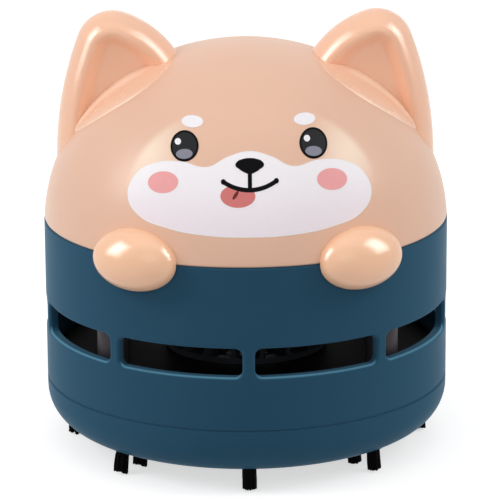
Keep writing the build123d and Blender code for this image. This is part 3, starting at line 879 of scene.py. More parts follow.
def finish_piece(
    piece: Object, finish: Finish, body: Body, replaces: tuple[str, ...] = ()
) -> None:
    """Shades a piece, dresses it and lets it ride on its body.

    Args:
        piece: the piece, with its place in its mesh.
        finish: what it is made of.
        body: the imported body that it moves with.
        replaces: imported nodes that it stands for.
    """
    mesh = piece.data
    mesh.shade_smooth()
    mesh.set_sharp_from_angle(angle=CREASE)
    mesh.materials.clear()
    mesh.materials.append(finish.material())
    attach(piece, body.value)
    if replaces:
        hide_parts(*replaces)
    LOG.info("%s: %d faces, on %s", piece.name, len(mesh.polygons), body.value)


def revolve(profile: list[Vector], steps: int) -> Mesh:
    """Spins a profile in the XZ plane once round the Z axis.

    Args:
        profile: its points; the last joins the first.
        steps: how many steps the turn has.

    Returns:
        The closed shape.
    """
    shape = bmesh.new()
    points = [shape.verts.new(p) for p in profile]
    edges = [shape.edges.new(pair) for pair in zip(points, points[1:] + points[:1])]
    bmesh.ops.spin(
        shape,
        geom=points + edges,
        cent=(0, 0, 0),
        axis=(0, 0, 1),
        angle=FULL_TURN,
        steps=steps,
        use_merge=True,
    )
    bmesh.ops.remove_doubles(shape, verts=shape.verts[:], dist=WELD)
    bmesh.ops.recalc_face_normals(shape, faces=shape.faces[:])
    return shape


def grid_cut(shape: Mesh, spacing: float) -> None:
    """Cuts a sheet across and along by evenly spaced planes, so that it can bend.

    Args:
        shape: the sheet, in the XZ plane.
        spacing: how far apart the planes are.
    """
    for axis in (Vector((1, 0, 0)), Vector((0, 0, 1))):
        places = [axis.dot(v.co) for v in shape.verts]
        low, high = min(places), max(places)
        count = int((high - low) / spacing)
        for k in range(1, count + 1):
            bmesh.ops.bisect_plane(
                shape,
                geom=shape.verts[:] + shape.edges[:] + shape.faces[:],
                dist=WELD,
                plane_co=axis * (low + k * (high - low) / (count + 1)),
                plane_no=axis,
            )


def put_on_side(shape: Mesh, side: Side) -> None:
    """Leaves a shape on the right side of the head, or mirrors it to the left.

    Args:
        shape: the shape, made on the right.
        side: where it goes.
    """
    bmesh.ops.scale(shape, vec=(side.value, 1, 1), verts=shape.verts[:])
    bmesh.ops.recalc_face_normals(shape, faces=shape.faces[:])


def cut_away(piece: Object, tool: Object) -> None:
    """Takes a closed tool's volume out of a piece and removes the tool.

    Args:
        piece: the piece, whose mesh is replaced.
        tool: the tool.
    """
    cut = piece.modifiers.new("cut", "BOOLEAN")
    cut.object = tool
    cut.operation = "DIFFERENCE"
    cut.solver = "EXACT"
    seen = piece.evaluated_get(bpy.context.evaluated_depsgraph_get())
    mesh = bpy.data.meshes.new_from_object(seen)
    piece.modifiers.clear()
    piece.data = mesh
    bpy.data.objects.remove(tool)


def smooth_outline(points: list[Pair]) -> Mesh:
    """Fills a smooth closed outline.

    Args:
        points: points that it goes through, across and up, in millimetres.

    Returns:
        The flat shape, in the XZ plane.
    """
    curve = bpy.data.curves.new("outline", "CURVE")
    curve.dimensions = "2D"
    curve.fill_mode = "BOTH"
    curve.resolution_u = 10
    spline = curve.splines.new("BEZIER")
    spline.bezier_points.add(len(points) - 1)
    for knot, (x, z) in zip(spline.bezier_points, points):
        knot.co = (x, z, 0)
        knot.handle_left_type = knot.handle_right_type = "AUTO"
    spline.use_cyclic_u = True
    holder = bpy.data.objects.new("outline", curve)
    mesh = bpy.data.meshes.new_from_object(holder)
    shape = bmesh.new()
    shape.from_mesh(mesh)
    bpy.data.objects.remove(holder)
    bpy.data.curves.remove(curve)
    bpy.data.meshes.remove(mesh)
    bmesh.ops.remove_doubles(shape, verts=shape.verts[:], dist=WELD / MM)
    bmesh.ops.rotate(shape, verts=shape.verts[:], matrix=Matrix.Rotation(QUARTER_TURN, 3, "X"))
    bmesh.ops.dissolve_edges(shape, edges=[e for e in shape.edges if not e.is_boundary])
    return shape


def upright(x: float, z: float) -> Vector:
    """A point in the XZ plane."""
    return Vector((x, 0, z))


def share_of(low: float, high: float, value: float) -> float:
    """How far a value is on the way from low to high, from 0 to 1."""
    return min(max((value - low) / (high - low), 0.0), 1.0)


def smooth_step(low: float, high: float, value: float) -> float:
    """Rises smoothly from 0 at low to 1 at high."""
    share = share_of(low, high, value)
    return share * share * (3 - 2 * share)


def rounding(share: float, power: float) -> float:
    """The height of a rounded edge, from 0 at its outline to 1 where it ends."""
    return (1 - (1 - share) ** power) ** (1 / power)


# --- Head ----------------------------------------------------------------------------------------
@dataclass(frozen=True)
class Dome:
    """The head's outer surface: a superellipse turned about Z, which goes straight down below its base."""

    radius: float = 42.5 * MM
    base: float = 46.8 * MM
    height: float = 38.85 * MM
    power: float = 2.04

    def meridian(self, inset: float, steps: int, low: float = 0.0) -> list[Vector]:
        """Gives points along the meridian, from the side up to the axis.

        Args:
            inset: how far inside the surface they lie.
            steps: how many steps they make.
            low: the height that they start at, or anything below the base to start there.

        Returns:
            The points, in the XZ plane.
        """
        start = math.asin((max(low - self.base, 0.0) / (self.height - inset)) ** (self.power / 2))
        points = []
        for k in range(steps + 1):
            turn = start + (QUARTER_TURN - start) * k / steps
            across = math.cos(turn) ** (2 / self.power) if k < steps else 0.0
            up = math.sin(turn) ** (2 / self.power)
            points.append(upright((self.radius - inset) * across, self.base + (self.height - inset) * up))
        return points

    def radius_at(self, z: float) -> float:
        """The surface's radius at a height."""
        up = share_of(0.0, self.height, z - self.base)
        return self.radius * (1 - up**self.power) ** (1 / self.power)

    def front(self, x: float, z: float, lift: float = 0.0) -> Vector:
        """Finds a point on the front of the dome.

        Args:
            x: its place across.
            z: its height.
            lift: how far it stands off the surface.

        Returns:
            The point.
        """
        radius = self.radius_at(z)
        point = Vector((x, -math.sqrt(max(radius**2 - x**2, 0.0)), z))
        up = max(z - self.base, 0.0) / self.height
        outward = (radius / self.radius) ** (self.power - 1) / self.radius
        steepness = up ** (self.power - 1) / self.height
        normal = Vector((point.x / radius * outward, point.y / radius * outward, steepness))
        return point + normal.normalized() * lift


def wrap_on_dome(
    shape: Mesh, dome: Dome, spacing: float, lift: Callable[[float, float], float], sunk: float
) -> None:
    """Bends a flat shape on to the front of the dome and gives it a thickness.

    Args:
        shape: the shape, in the XZ plane.
        dome: the dome.
        spacing: how far apart the cuts are that let it bend.
        lift: how far its outside stands off the dome, by place across and height.
        sunk: how deep its underside lies in the dome.
    """
    grid_cut(shape, spacing)
    bmesh.ops.triangulate(shape, faces=shape.faces[:])
    bmesh.ops.recalc_face_normals(shape, faces=shape.faces[:])
    raised = bmesh.ops.extrude_face_region(shape, geom=shape.faces[:], use_keep_orig=True)
    top = {g for g in raised["geom"] if isinstance(g, bmesh.types.BMVert)}
    for point in shape.verts:
        x, z = point.co.x, point.co.z
        point.co = dome.front(x, z, lift(x, z) if point in top else -sunk)
    bmesh.ops.recalc_face_normals(shape, faces=shape.faces[:])


@dataclass(frozen=True)
class HeadShell:
    """The hollow moulded dome with the spigot that plugs into the body."""

    dome: Dome = Dome()
    wall: float = 2.0 * MM
    rim_z: float = 48.7 * MM
    plug_radius: float = 40.1 * MM
    plug_wall: float = 1.9 * MM
    plug_low: float = 44.2 * MM
    plug_chamfer: float = 0.35 * MM
    hollow_low: float = 50.6 * MM  # where the dome's hollow starts
    ledge: float = 1.0 * MM  # how far below that the spigot's bore starts
    edge: float = 0.6 * MM  # radius of the dome's rounded lower edge
    edge_steps: int = 5
    steps_round: int = 224
    steps_up: int = 56
    core_low: float = 28.7 * MM  # low enough to cut away all of an ear's buried end

    def profile(self) -> list[Vector]:
        """Draws the shell's section.

        Returns:
            Its points, in the XZ plane.
        """
        outer = self.dome.meridian(0.0, self.steps_up, self.rim_z + self.edge)
        inner = self.dome.meridian(self.wall, self.steps_up // 2, self.hollow_low)
        corner = upright(outer[0].x - self.edge, outer[0].z)
        rounded = [
            corner + self.edge * upright(math.sin(turn), -math.cos(turn))
            for turn in (QUARTER_TURN * k / self.edge_steps for k in range(self.edge_steps))
        ]
        bore = self.plug_radius - self.plug_wall
        plug = [
            upright(bore, self.hollow_low - self.ledge),
            upright(bore, self.plug_low),
            upright(self.plug_radius - self.plug_chamfer, self.plug_low),
            upright(self.plug_radius, self.plug_low + self.plug_chamfer),
            upright(self.plug_radius, self.rim_z),
        ]
        return rounded + outer + inner[::-1] + plug

    def build(self) -> None:
        """Makes the shell."""
        shell = make_object(revolve(self.profile(), self.steps_round), "head_dome")
        finish_piece(shell, PEACH, Body.HEAD, ("head_shell",))

    def core(self, sunk: float) -> Object:
        """Makes a solid inside the dome's surface, to trim what is seated on it.

        Args:
            sunk: how far inside the surface it stays.

        Returns:
            The solid.
        """
        points = self.dome.meridian(sunk, 40)
        points += [upright(0, self.core_low), upright(self.dome.radius - sunk, self.core_low)]
        return make_object(revolve(points, 96), "core")


@dataclass(frozen=True)
class Arc:
    """An arc in the XZ plane, turned clockwise as seen from the front, with angles from +X towards +Z."""

    centre: Vector
    radius: float
    start: float
    end: float

    def at(self, angle: float) -> Vector:
        """The point at an angle."""
        return self.centre + self.radius * upright(math.cos(angle), math.sin(angle))


@dataclass(frozen=True)
class Ear:
    """An ear: a rounded blade whose front is dished, with a soft rim that runs down into the head."""

    side: Side
    tip: Pair = (27.5 * MM, 84.6 * MM)
    tip_radius: float = 7.7 * MM
    leaves_inside: float = math.radians(109)  # where the inner side leaves the tip's arc
    leaves_outside: float = math.radians(21)
    outer_foot: Pair = (39.6 * MM, 60.5 * MM)
    inner_foot: Pair = (11.5 * MM, 78.0 * MM)
    buried: float = 9.0 * MM  # the sides run on this far below their feet, inside the head
    half_thickness: float = 6.0 * MM
    rim_width: float = 3.5 * MM  # from the outline to the rim's crest, in front
    rim_power: float = 1.6
    dish_from: float = 0.8  # the dish starts at this share of the rim's width
    dish_run: float = 4.0 * MM  # from the crest to the dish's floor
    dish_depth: float = 1.9 * MM
    back_round: float = 5.4 * MM
    back_power: float = 2.3
    back_steps: int = 12
    rim_steps: int = 16
    dish_steps: int = 14
    arc_steps: tuple[int, int, int] = (30, 30, 40)
    seat: float = 1.0 * MM  # how deep it is set in the dome's wall

    def arcs(self) -> tuple[Arc, Arc, Arc]:
        """Works out the outline's arcs, each tangent to the next.

        Returns:
            The inner side, the tip and the outer side.
        """
        tip = Arc(upright(*self.tip), self.tip_radius, self.leaves_inside, self.leaves_outside)
        sides = []
        for angle, foot in ((tip.start, self.inner_foot), (tip.end, self.outer_foot)):
            leaves = tip.at(angle)
            inward = (tip.centre - leaves).normalized()
            chord = upright(*foot) - leaves
            radius = chord.length_squared / (2 * chord.dot(inward))
            centre = leaves + inward * radius
            to_foot = leaves + chord - centre
            foot_angle = math.atan2(to_foot.z, to_foot.x)
            buried = self.buried / radius
            if angle == tip.start:
                sides.append(Arc(centre, radius, foot_angle + buried, angle))
            else:
                sides.append(Arc(centre, radius, angle, foot_angle - buried))
        return sides[0], tip, sides[1]

    def front_height(self, depth: float) -> float:
        """Works out how far the front stands off the blade's middle.

        Args:
            depth: the distance from the outline.

        Returns:
            The height.
        """
        rim = rounding(min(depth / self.rim_width, 1.0), self.rim_power)
        start, floor = self.rim_width * self.dish_from, self.rim_width + self.dish_run
        dish = smooth_step(0.0, 1.0, smooth_step(start, floor, depth))
        return self.half_thickness * rim - self.dish_depth * dish

    def back_height(self, depth: float) -> float:
        """How far the back stands off the blade's middle, by the distance from the outline."""
        return self.half_thickness * rounding(min(depth / self.back_round, 1.0), self.back_power)

    def section(self) -> list[Pair]:
        """Draws the rim's section, from the back round to the dish's floor.

        Returns:
            Its points, as the depth from the outline and Y.
        """
        floor = self.rim_width + self.dish_run
        back, rim = (
            [width * (1 - math.cos(QUARTER_TURN * k / steps)) for k in range(1, steps + 1)]
            for width, steps in ((self.back_round, self.back_steps), (self.rim_width, self.rim_steps))
        )
        dish = [self.rim_width + self.dish_run * (k + 1) / self.dish_steps for k in range(self.dish_steps)]
        return (
            [(depth, self.back_height(depth)) for depth in [floor] + back[::-1]]
            + [(0.0, 0.0)]
            + [(depth, -self.front_height(depth)) for depth in rim + dish]
        )

    def blade(self) -> Mesh:
        """Makes the right ear: its rim's section swept round the outline, with flat faces between.

        Returns:
            The closed shape.
        """
        shape = bmesh.new()
        arcs = self.arcs()
        out = upright(math.cos(arcs[0].start), math.sin(arcs[0].start))
        points = [
            shape.verts.new(arcs[0].centre + out * (arcs[0].radius - depth) + Vector((0, y, 0)))
            for depth, y in self.section()
        ]
        first = [shape.edges.new(pair) for pair in zip(points, points[1:])]
        swept = points + first
        for arc, steps in zip(arcs, self.arc_steps):
            swept = bmesh.ops.spin(
                shape,
                geom=swept,
                cent=arc.centre,
                axis=(0, 1, 0),
                angle=arc.start - arc.end,
                steps=steps,
            )["geom_last"]
        feet = set(first) | {g for g in swept if isinstance(g, bmesh.types.BMEdge)}
        open_edges = {e for e in shape.edges if e.is_boundary} - feet
        for sign in (-1, 1):
            chain = {e for e in open_edges if e.verts[0].co.y * sign > 0}
            ends = [v for e in chain for v in e.verts if sum(f in chain for f in v.link_edges) == 1]
            feet.add(shape.edges.new(ends))
            bmesh.ops.contextual_create(shape, geom=list(chain) + [shape.edges.get(ends)])
        bmesh.ops.contextual_create(shape, geom=list(feet))
        return shape

    def build(self, head: HeadShell) -> None:
        """Makes the ear and seats it in the head.

        Args:
            head: the shell that it sits on.
        """
        shape = self.blade()
        put_on_side(shape, self.side)
        name = self.side.name.lower()
        ear = make_object(shape, f"{name}_ear_blade")
        cut_away(ear, head.core(self.seat))
        finish_piece(ear, EAR_PEACH, Body.HEAD, (f"{name}_ear",))


@dataclass(frozen=True)
class EarLip:
    """The low swell of the head in front of an ear, with its crest along the ear's dish.

    It starts thin near the middle of the head and is drawn on the right side; the left one is mirrored.
    """

    side: Side
    dome: Dome
    crest: tuple[float, float, float] = (8.2 * MM, 51.9 * MM, 31.95 * MM)  # circle: across, up, radius
    foot: tuple[float, float, float] = (-15.5 * MM, 11.3 * MM, 76.2 * MM)
    ends: Pair = (15.0 * MM, 36.4 * MM)  # it lies between these, across
    fades: float = 25.5 * MM  # from here to the first end it gets lower and narrower
    height: float = 1.15 * MM
    swelling: float = 0.75  # the power that it rises by from foot to crest
    crest_from: float = 0.65  # the crest rounds over from this share of the way up
    crest_round: float = 0.9
    film: float = 0.02 * MM  # it stands off the dome by this all over
    highlight_crest: Pair = (0.8, 0.93)  # the painted highlight lines come in between these shares of the way up
    highlight_foot: Pair = (0.04, 0.16)
    sunk: float = 0.3 * MM  # its underside lies this deep in the dome
    spacing: float = 0.15 * MM
    steps: int = 32

    def line(self, circle: tuple[float, float, float], x: float) -> float:
        """The height of a circle's upper half at a place across."""
        return circle[1] + math.sqrt(circle[2] ** 2 - (x - circle[0]) ** 2)

    def low(self, x: float) -> float:
        """Works out the height of the foot, which closes on the crest in a round inner end.

        Args:
            x: the place across, on the right side.

        Returns:
            The height.
        """
        foot, crest = self.line(self.foot, x), self.line(self.crest, x)
        return crest - (crest - foot) * math.sqrt(1 - share_of(self.fades, self.ends[0], x) ** 2)

    def share(self, x: float, z: float) -> float:
        """How far up between the foot and the crest a place lies, from 0 to 1."""
        low, high = self.low(x), self.line(self.crest, x)
        return min(max((z - low) / max(high - low, WELD), 0.0), 1.0)

    def lift(self, x: float, z: float) -> float:
        """How far the swell stands off the dome.

        Args:
            x: the place across, on the right side.
            z: its height.

        Returns:
            The lift.
        """
        share = self.share(x, z)
        over = max(share - self.crest_from, 0.0) / (1 - self.crest_from)
        rounded = math.sqrt(1 - self.crest_round * over**2)
        taper = smooth_step(self.ends[0], self.fades, x)
        return self.height * share**self.swelling * rounded * taper + self.film

    def mark_highlight_lines(self, mesh: bpy.types.Mesh) -> None:
        """Writes how near each point lies to the crest or the foot, for the painted highlight lines.

        Args:
            mesh: the swell's mesh.
        """
        edge = mesh.attributes.new("edge", "FLOAT", "POINT")
        for point, value in zip(mesh.vertices, edge.data):
            across = point.co.x * self.side.value
            share = self.share(across, point.co.z)
            near = max(smooth_step(*self.highlight_crest, share), 1 - smooth_step(*self.highlight_foot, share))
            value.value = near * smooth_step(self.ends[0], self.fades, across)

    def build(self) -> None:
        """Makes the swell."""
        inner, outer = self.ends
        span = [inner + (outer - inner) * k / self.steps for k in range(self.steps + 1)]
        shape = bmesh.new()
        points = [shape.verts.new(upright(x, self.line(self.crest, x))) for x in span]
        points += [shape.verts.new(upright(x, self.low(x))) for x in reversed(span)]
        shape.faces.new(points)
        bmesh.ops.remove_doubles(shape, verts=shape.verts[:], dist=self.spacing / 3)
        wrap_on_dome(shape, self.dome, self.spacing, self.lift, self.sunk)
        put_on_side(shape, self.side)
        lip = make_object(shape, f"{self.side.name.lower()}_ear_lip")
        self.mark_highlight_lines(lip.data)
        finish_piece(lip, LIP_PEACH, Body.HEAD)


# --- The printed face ----------------------------------------------------------------------------
class Layer(Enum):
    """How far each layer of ink stands off the plastic, in millimetres."""

    EDGE = 0.03
    GROUND = 0.05
    HALO = 0.065
    FEATURE = 0.08
    DETAIL = 0.10
    SPARK = 0.12


@dataclass(frozen=True)
class FacePrint:
    """The face pad-printed on the dome: drawn flat in millimetres, then wrapped on it as thin films.

    The eyes, brows and cheeks are skewed, so that they look level from in front and a little above.
    """

    dome: Dome
    middle: float = 0.5  # the print's middle is this far to the right of the head's
    roll: float = 0.5  # the features are turned this far, right side up, in degrees
    roll_about: float = 65.0  # the height that they are turned about
    level_from: float = math.radians(13.5)  # the height that they look level from
    spacing: float = 1.2  # the cuts that let the films bend are this far apart
    sunk: float = 0.03  # the films' undersides lie this deep in the plastic
    border: float = 0.3  # the white ground shows this wide round the coloured inks
    muzzle_side: tuple[Pair, ...] = (
        (8.5, 55.05),
        (16.5, 55.95),
        (22.4, 57.8),
        (24.45, 60.7),
        (23.0, 65.0),
        (19.4, 67.5),
        (13.9, 68.4),
        (8.5, 67.75),
        (4.4, 69.6),
    )
    muzzle_low: float = 54.85
    muzzle_top: float = 70.6
    eye: Pair = (12.9, 71.15)
    brow: Pair = (11.27, 75.28)
    brow_tilt: float = 4.0  # how far a brow's outer end is turned up, in degrees
    cheek: Pair = (16.87, 64.53)
    cheek_shift: float = -0.42
    stroke: float = 0.82
    stroke_end: float = 0.5  # radius of the mouth's round ends
    stroke_run: float = 1.15  # how much longer the line above the mouth is than the gap it spans
    mouth_half: float = 5.26
    mouth_low: float = 63.72
    mouth_sag: float = 1.5
    nose_side: tuple[Pair, ...] = (
        (1.4, 69.22), (2.5, 68.75), (2.83, 68.15), (2.05, 67.45), (1.1, 66.92)
    )
    nose_top: float = 69.38
    nose_low: float = 66.6
    tongue: Pair = (-2.42, 62.6)

    def ellipse(self, centre: Pair, half: Pair, tilt: float = 0.0) -> Mesh:
        """Fills an ellipse.

        Args:
            centre: its middle, across and up.
            half: its half width and half height.
            tilt: how far its right end is turned up, in degrees.

        Returns:
            The flat shape, in the XZ plane.
        """
        shape = bmesh.new()
        bmesh.ops.create_circle(shape, cap_ends=True, segments=48, radius=1.0)
        place = (
            Matrix.Translation((centre[0], 0, centre[1]))
            @ Matrix.Rotation(-math.radians(tilt), 4, "Y")
            @ Matrix.Diagonal((half[0], 1, half[1], 1))
            @ Matrix.Rotation(QUARTER_TURN, 4, "X")
        )
        bmesh.ops.transform(shape, matrix=place, verts=shape.verts[:])
        return shape

    def level(self, shape: Mesh, centre: Pair) -> Mesh:
        """Skews a flat shape about a place, so that it looks level on the round of the dome.

        Args:
            shape: the shape.
            centre: the place.

        Returns:
            The same shape.
        """
        across = (centre[0] + self.middle) * MM
        depth = math.sqrt(self.dome.radius_at(centre[1] * MM) ** 2 - across**2)
        slope = -math.tan(self.level_from) * across / depth
        for point in shape.verts:
            point.co.z += slope * (point.co.x - centre[0])
        return shape

    def under_mouth(self, shape: Mesh) -> Mesh:
        """Holds a flat shape under the middle of the mouth's line.

        Args:
            shape: the shape.

        Returns:
            The same shape.
        """
        radius = self.mouth_radius()
        for point in shape.verts:
            line = self.mouth_low + radius - math.sqrt(radius**2 - point.co.x**2)
            point.co.z = min(point.co.z, line)
        return shape

    def mouth_radius(self) -> float:
        """The radius of the arc that the mouth follows."""
        return (self.mouth_half**2 + self.mouth_sag**2) / (2 * self.mouth_sag)

    def smile(self, margin: float = 0.0) -> Mesh:
        """Makes the mouth's line: a band along an arc.

        Args:
            margin: how much wider than the stroke it is, each way.

        Returns:
            The flat shape, in the XZ plane.
        """
        radius = self.mouth_radius()
        centre = upright(0, self.mouth_low + radius)
        reach = math.asin(self.mouth_half / radius)
        shape = bmesh.new()
        start = upright(-math.sin(reach), -math.cos(reach))
        half = self.stroke / 2 + margin
        low, high = (shape.verts.new(centre + start * (radius + part)) for part in (half, -half))
        bmesh.ops.spin(
            shape,
            geom=[low, high, shape.edges.new((low, high))],
            cent=centre,
            axis=(0, 1, 0),
            angle=-2 * reach,
            steps=24,
        )
        return shape

    def shrunk(self, shape: Mesh, by: float) -> Mesh:
        """Draws a flat shape's edge in.

        Args:
            shape: the shape, of one face.
            by: how far.

        Returns:
            The same shape.
        """
        ring = bmesh.ops.inset_region(
            shape, faces=shape.faces[:], thickness=by, use_boundary=True, use_even_offset=True
        )["faces"]
        bmesh.ops.delete(shape, geom=ring, context="FACES")
        return shape

    def rolled(self, shape: Mesh) -> Mesh:
        """Turns a flat shape with the rest of the features.

        Args:
            shape: the shape.

        Returns:
            The same shape.
        """
        turn = Matrix.Rotation(-math.radians(self.roll), 3, "Y")
        bmesh.ops.rotate(shape, cent=(0, 0, self.roll_about), matrix=turn, verts=shape.verts[:])
        return shape

    def wrap(self, shape: Mesh, name: str, ink: PadInk, layer: Layer) -> None:
        """Prints a flat shape on the dome.

        Args:
            shape: the shape, in the XZ plane.
            name: the piece's name.
            ink: what it is printed with.
            layer: how far it stands off the plastic.
        """
        bmesh.ops.translate(shape, vec=(self.middle, 0, 0), verts=shape.verts[:])
        bmesh.ops.scale(shape, vec=(MM, MM, MM), verts=shape.verts[:])
        lift = layer.value * MM
        wrap_on_dome(shape, self.dome, self.spacing * MM, lambda x, z: lift, self.sunk * MM)
        finish_piece(make_object(shape, f"print_{name}"), ink, Body.HEAD)

    def print_side(self, side: Side) -> None:
        """Prints an eye, a brow and a cheek.

        Args:
            side: the side that they are on.
        """
        word, sign = side.name.lower(), side.value
        eye = (sign * self.eye[0], self.eye[1])
        cheek = (sign * self.cheek[0] + self.cheek_shift, self.cheek[1])
        brow = (sign * self.brow[0], self.brow[1])
        parts = (
            ("eye", eye, (0.0, 0.0), (2.82, 2.62), 0.0, INK_BLACK, Layer.FEATURE),
            ("eye_iris", eye, (0.0, 0.0), (2.42, 2.26), 0.0, INK_CHARCOAL, Layer.DETAIL),
            ("eye_spark", eye, (-1.31, 0.8), (0.63, 0.55), 0.0, INK_WHITE, Layer.SPARK),
            ("eye_sheen", eye, (-0.05, -1.33), (1.66, 0.84), 0.0, INK_GREY, Layer.SPARK),
            ("brow", brow, (0.0, 0.0), (2.17, 0.97), sign * self.brow_tilt, INK_WHITE, Layer.FEATURE),
            ("cheek_edge", cheek, (0.0, 0.0), (3.3, 2.2), 0.0, INK_WHITE, Layer.HALO),
            ("cheek", cheek, (0.0, 0.0), (3.05, 1.95), 0.0, INK_ROSE, Layer.FEATURE),
        )
        for name, about, off, half, tilt, ink, layer in parts:
            shape = self.ellipse((about[0] + off[0], about[1] + off[1]), half, tilt)
            self.wrap(self.rolled(self.level(shape, about)), f"{word}_{name}", ink, layer)

    def print_mouth(self) -> None:
        """Prints the mouth, the line above it and the tongue, each on a wider white ground."""
        lip_half = (self.nose_low - self.mouth_low) / 2
        for word, margin, ink, layer in (
            ("_edge", self.border, INK_WHITE, Layer.HALO), ("", 0.0, INK_BLACK, Layer.DETAIL)
        ):
            self.wrap(self.rolled(self.smile(margin)), f"mouth{word}", ink, layer)
            for side in Side:
                end = (side.value * self.mouth_half, self.mouth_low + self.mouth_sag)
                radius = self.stroke_end + margin
                shape = self.rolled(self.ellipse(end, (radius, radius)))
                self.wrap(shape, f"mouth_{side.name.lower()}_end{word}", ink, layer)
            bar = bmesh.new()
            place = (
                Matrix.Translation(upright(0, self.mouth_low + lip_half))
                @ Matrix.Diagonal((self.stroke / 2 + margin, 1, lip_half * self.stroke_run, 1))
                @ Matrix.Rotation(QUARTER_TURN, 4, "X")
            )
            bmesh.ops.create_grid(bar, x_segments=1, y_segments=1, size=1.0, matrix=place)
            self.wrap(bar, f"lip_line{word}", ink, layer)
        for word, half, ink, layer in (
            ("_edge", (3.75, 2.36), INK_WHITE, Layer.HALO), ("", (3.47, 2.1), INK_RED, Layer.FEATURE)
        ):
            self.wrap(self.under_mouth(self.ellipse(self.tongue, half)), f"tongue{word}", ink, layer)
        crease = (self.tongue[0] - 0.45, self.tongue[1] + 0.2)
        self.wrap(self.ellipse(crease, (0.95, 0.33), 54), "tongue_crease", INK_BROWN, Layer.DETAIL)

    def build(self) -> None:
        """Prints the face."""
        side = list(self.muzzle_side)
        mirrored = [(-x, z) for x, z in reversed(side)]
        muzzle = [(0.0, self.muzzle_low)] + side + [(0.0, self.muzzle_top)] + mirrored
        self.wrap(smooth_outline(muzzle), "muzzle_edge", INK_WHITE, Layer.EDGE)
        self.wrap(self.shrunk(smooth_outline(muzzle), self.border), "muzzle", INK_LILAC, Layer.GROUND)
        for each in Side:
            self.print_side(each)
        half = list(self.nose_side)
        nose = [(0.0, self.nose_low)] + half[::-1] + [(0.0, self.nose_top)] + [(-x, z) for x, z in half]
        self.wrap(smooth_outline(nose), "nose", INK_BLACK, Layer.SPARK)
        self.print_mouth()


# --- Bristles ------------------------------------------------------------------------------------
@dataclass(frozen=True)
class BristleRing:
    """A ring of tufts, each a bundle of nylon hairs with ragged ends."""

    name: str
    ring: float  # the radius that the tufts stand on
    lowest: float
    count: int = 8
    root: float = 6.4 * MM  # the height that the hairs come down from
    bundle: float = 1.2 * MM
    spread: float = 1.05  # how much wider the tips stand than the roots
    outward: float = 0.65 * MM  # how far the tips lean away from the base's middle
    hairs: int = 120
    hair: float = 0.16 * MM  # thicker than the real 0.08 mm, so that a tuft looks full
    hair_sides: int = 5
    bends: tuple[float, float, float] = (0.4, 0.75, 1.0)  # where a hair bends, as shares of its length
    clumps: int = 3
    clump_lean: float = 0.3 * MM
    clump_short: Pair = (0.1 * MM, 0.8 * MM)  # how much shorter all but one of the clumps are
    stray: float = 0.06 * MM  # how far single hairs lean out of line
    ragged: float = 0.3 * MM
    variants: int = 4

    def tuft(self, seed: int) -> bpy.types.Mesh:
        """Makes one tuft round the Z axis.

        Args:
            seed: which of the variants it is.

        Returns:
            Its mesh.
        """
        chance = random.Random(seed)
        shape = bmesh.new()
        clumps = []
        for k in range(self.clumps):
            way = Vector((chance.uniform(-1, 1), chance.uniform(-1, 1), 0)) * self.clump_lean
            clumps.append((way, 0.0 if k == 0 else chance.uniform(*self.clump_short)))
        for k in range(self.hairs):
            # A sunflower's spiral fills the bundle evenly.
            angle = k * math.pi * (3 - math.sqrt(5)) + chance.uniform(-0.2, 0.2)
            out = self.bundle * math.sqrt((k + 0.5) / self.hairs)
            root = Vector((out * math.cos(angle), out * math.sin(angle), self.root))
            way, short = clumps[int(angle / FULL_TURN * self.clumps) % self.clumps]
            lean = way + Vector((chance.gauss(0, self.stray), chance.gauss(0, self.stray), 0))
            low = self.lowest + short + self.ragged * chance.random() ** 2
            tip = Vector((root.x * self.spread, root.y * self.spread - self.outward, low)) + lean
            made = bmesh.ops.create_circle(
                shape,
                cap_ends=True,
                segments=self.hair_sides,
                radius=self.hair,
                matrix=Matrix.Translation(root),
            )
            face = list({f for v in made["verts"] for f in v.link_faces})
            at = root
            for share in self.bends:
                goal = root.lerp(tip, share) + lean * (share - share**2) * 2
                grown = bmesh.ops.extrude_face_region(shape, geom=face)
                face = [g for g in grown["geom"] if isinstance(g, bmesh.types.BMFace)]
                points = [g for g in grown["geom"] if isinstance(g, bmesh.types.BMVert)]
                bmesh.ops.translate(shape, vec=goal - at, verts=points)
                at = goal
        bmesh.ops.recalc_face_normals(shape, faces=shape.faces[:])
        mesh = bpy.data.meshes.new(f"{self.name}_tuft")
        shape.to_mesh(mesh)
        shape.free()
        return mesh

    def build(self) -> None:
        """Makes the ring."""
        tufts = [self.tuft(seed) for seed in range(self.variants)]
        shape = bmesh.new()
        for k in range(self.count):
            angle = FULL_TURN * k / self.count
            before = len(shape.verts)
            shape.from_mesh(tufts[k % self.variants])
            shape.verts.ensure_lookup_table()
            place = Matrix.Rotation(angle, 4, "Z") @ Matrix.Translation((0, -self.ring, 0))
            bmesh.ops.transform(shape, matrix=place, verts=shape.verts[before:])
        for mesh in tufts:
            bpy.data.meshes.remove(mesh)
        ring = make_object(shape, f"{self.name}_bristles")
        finish_piece(ring, NYLON, Body.BASE, (f"{self.name}_tufts",))


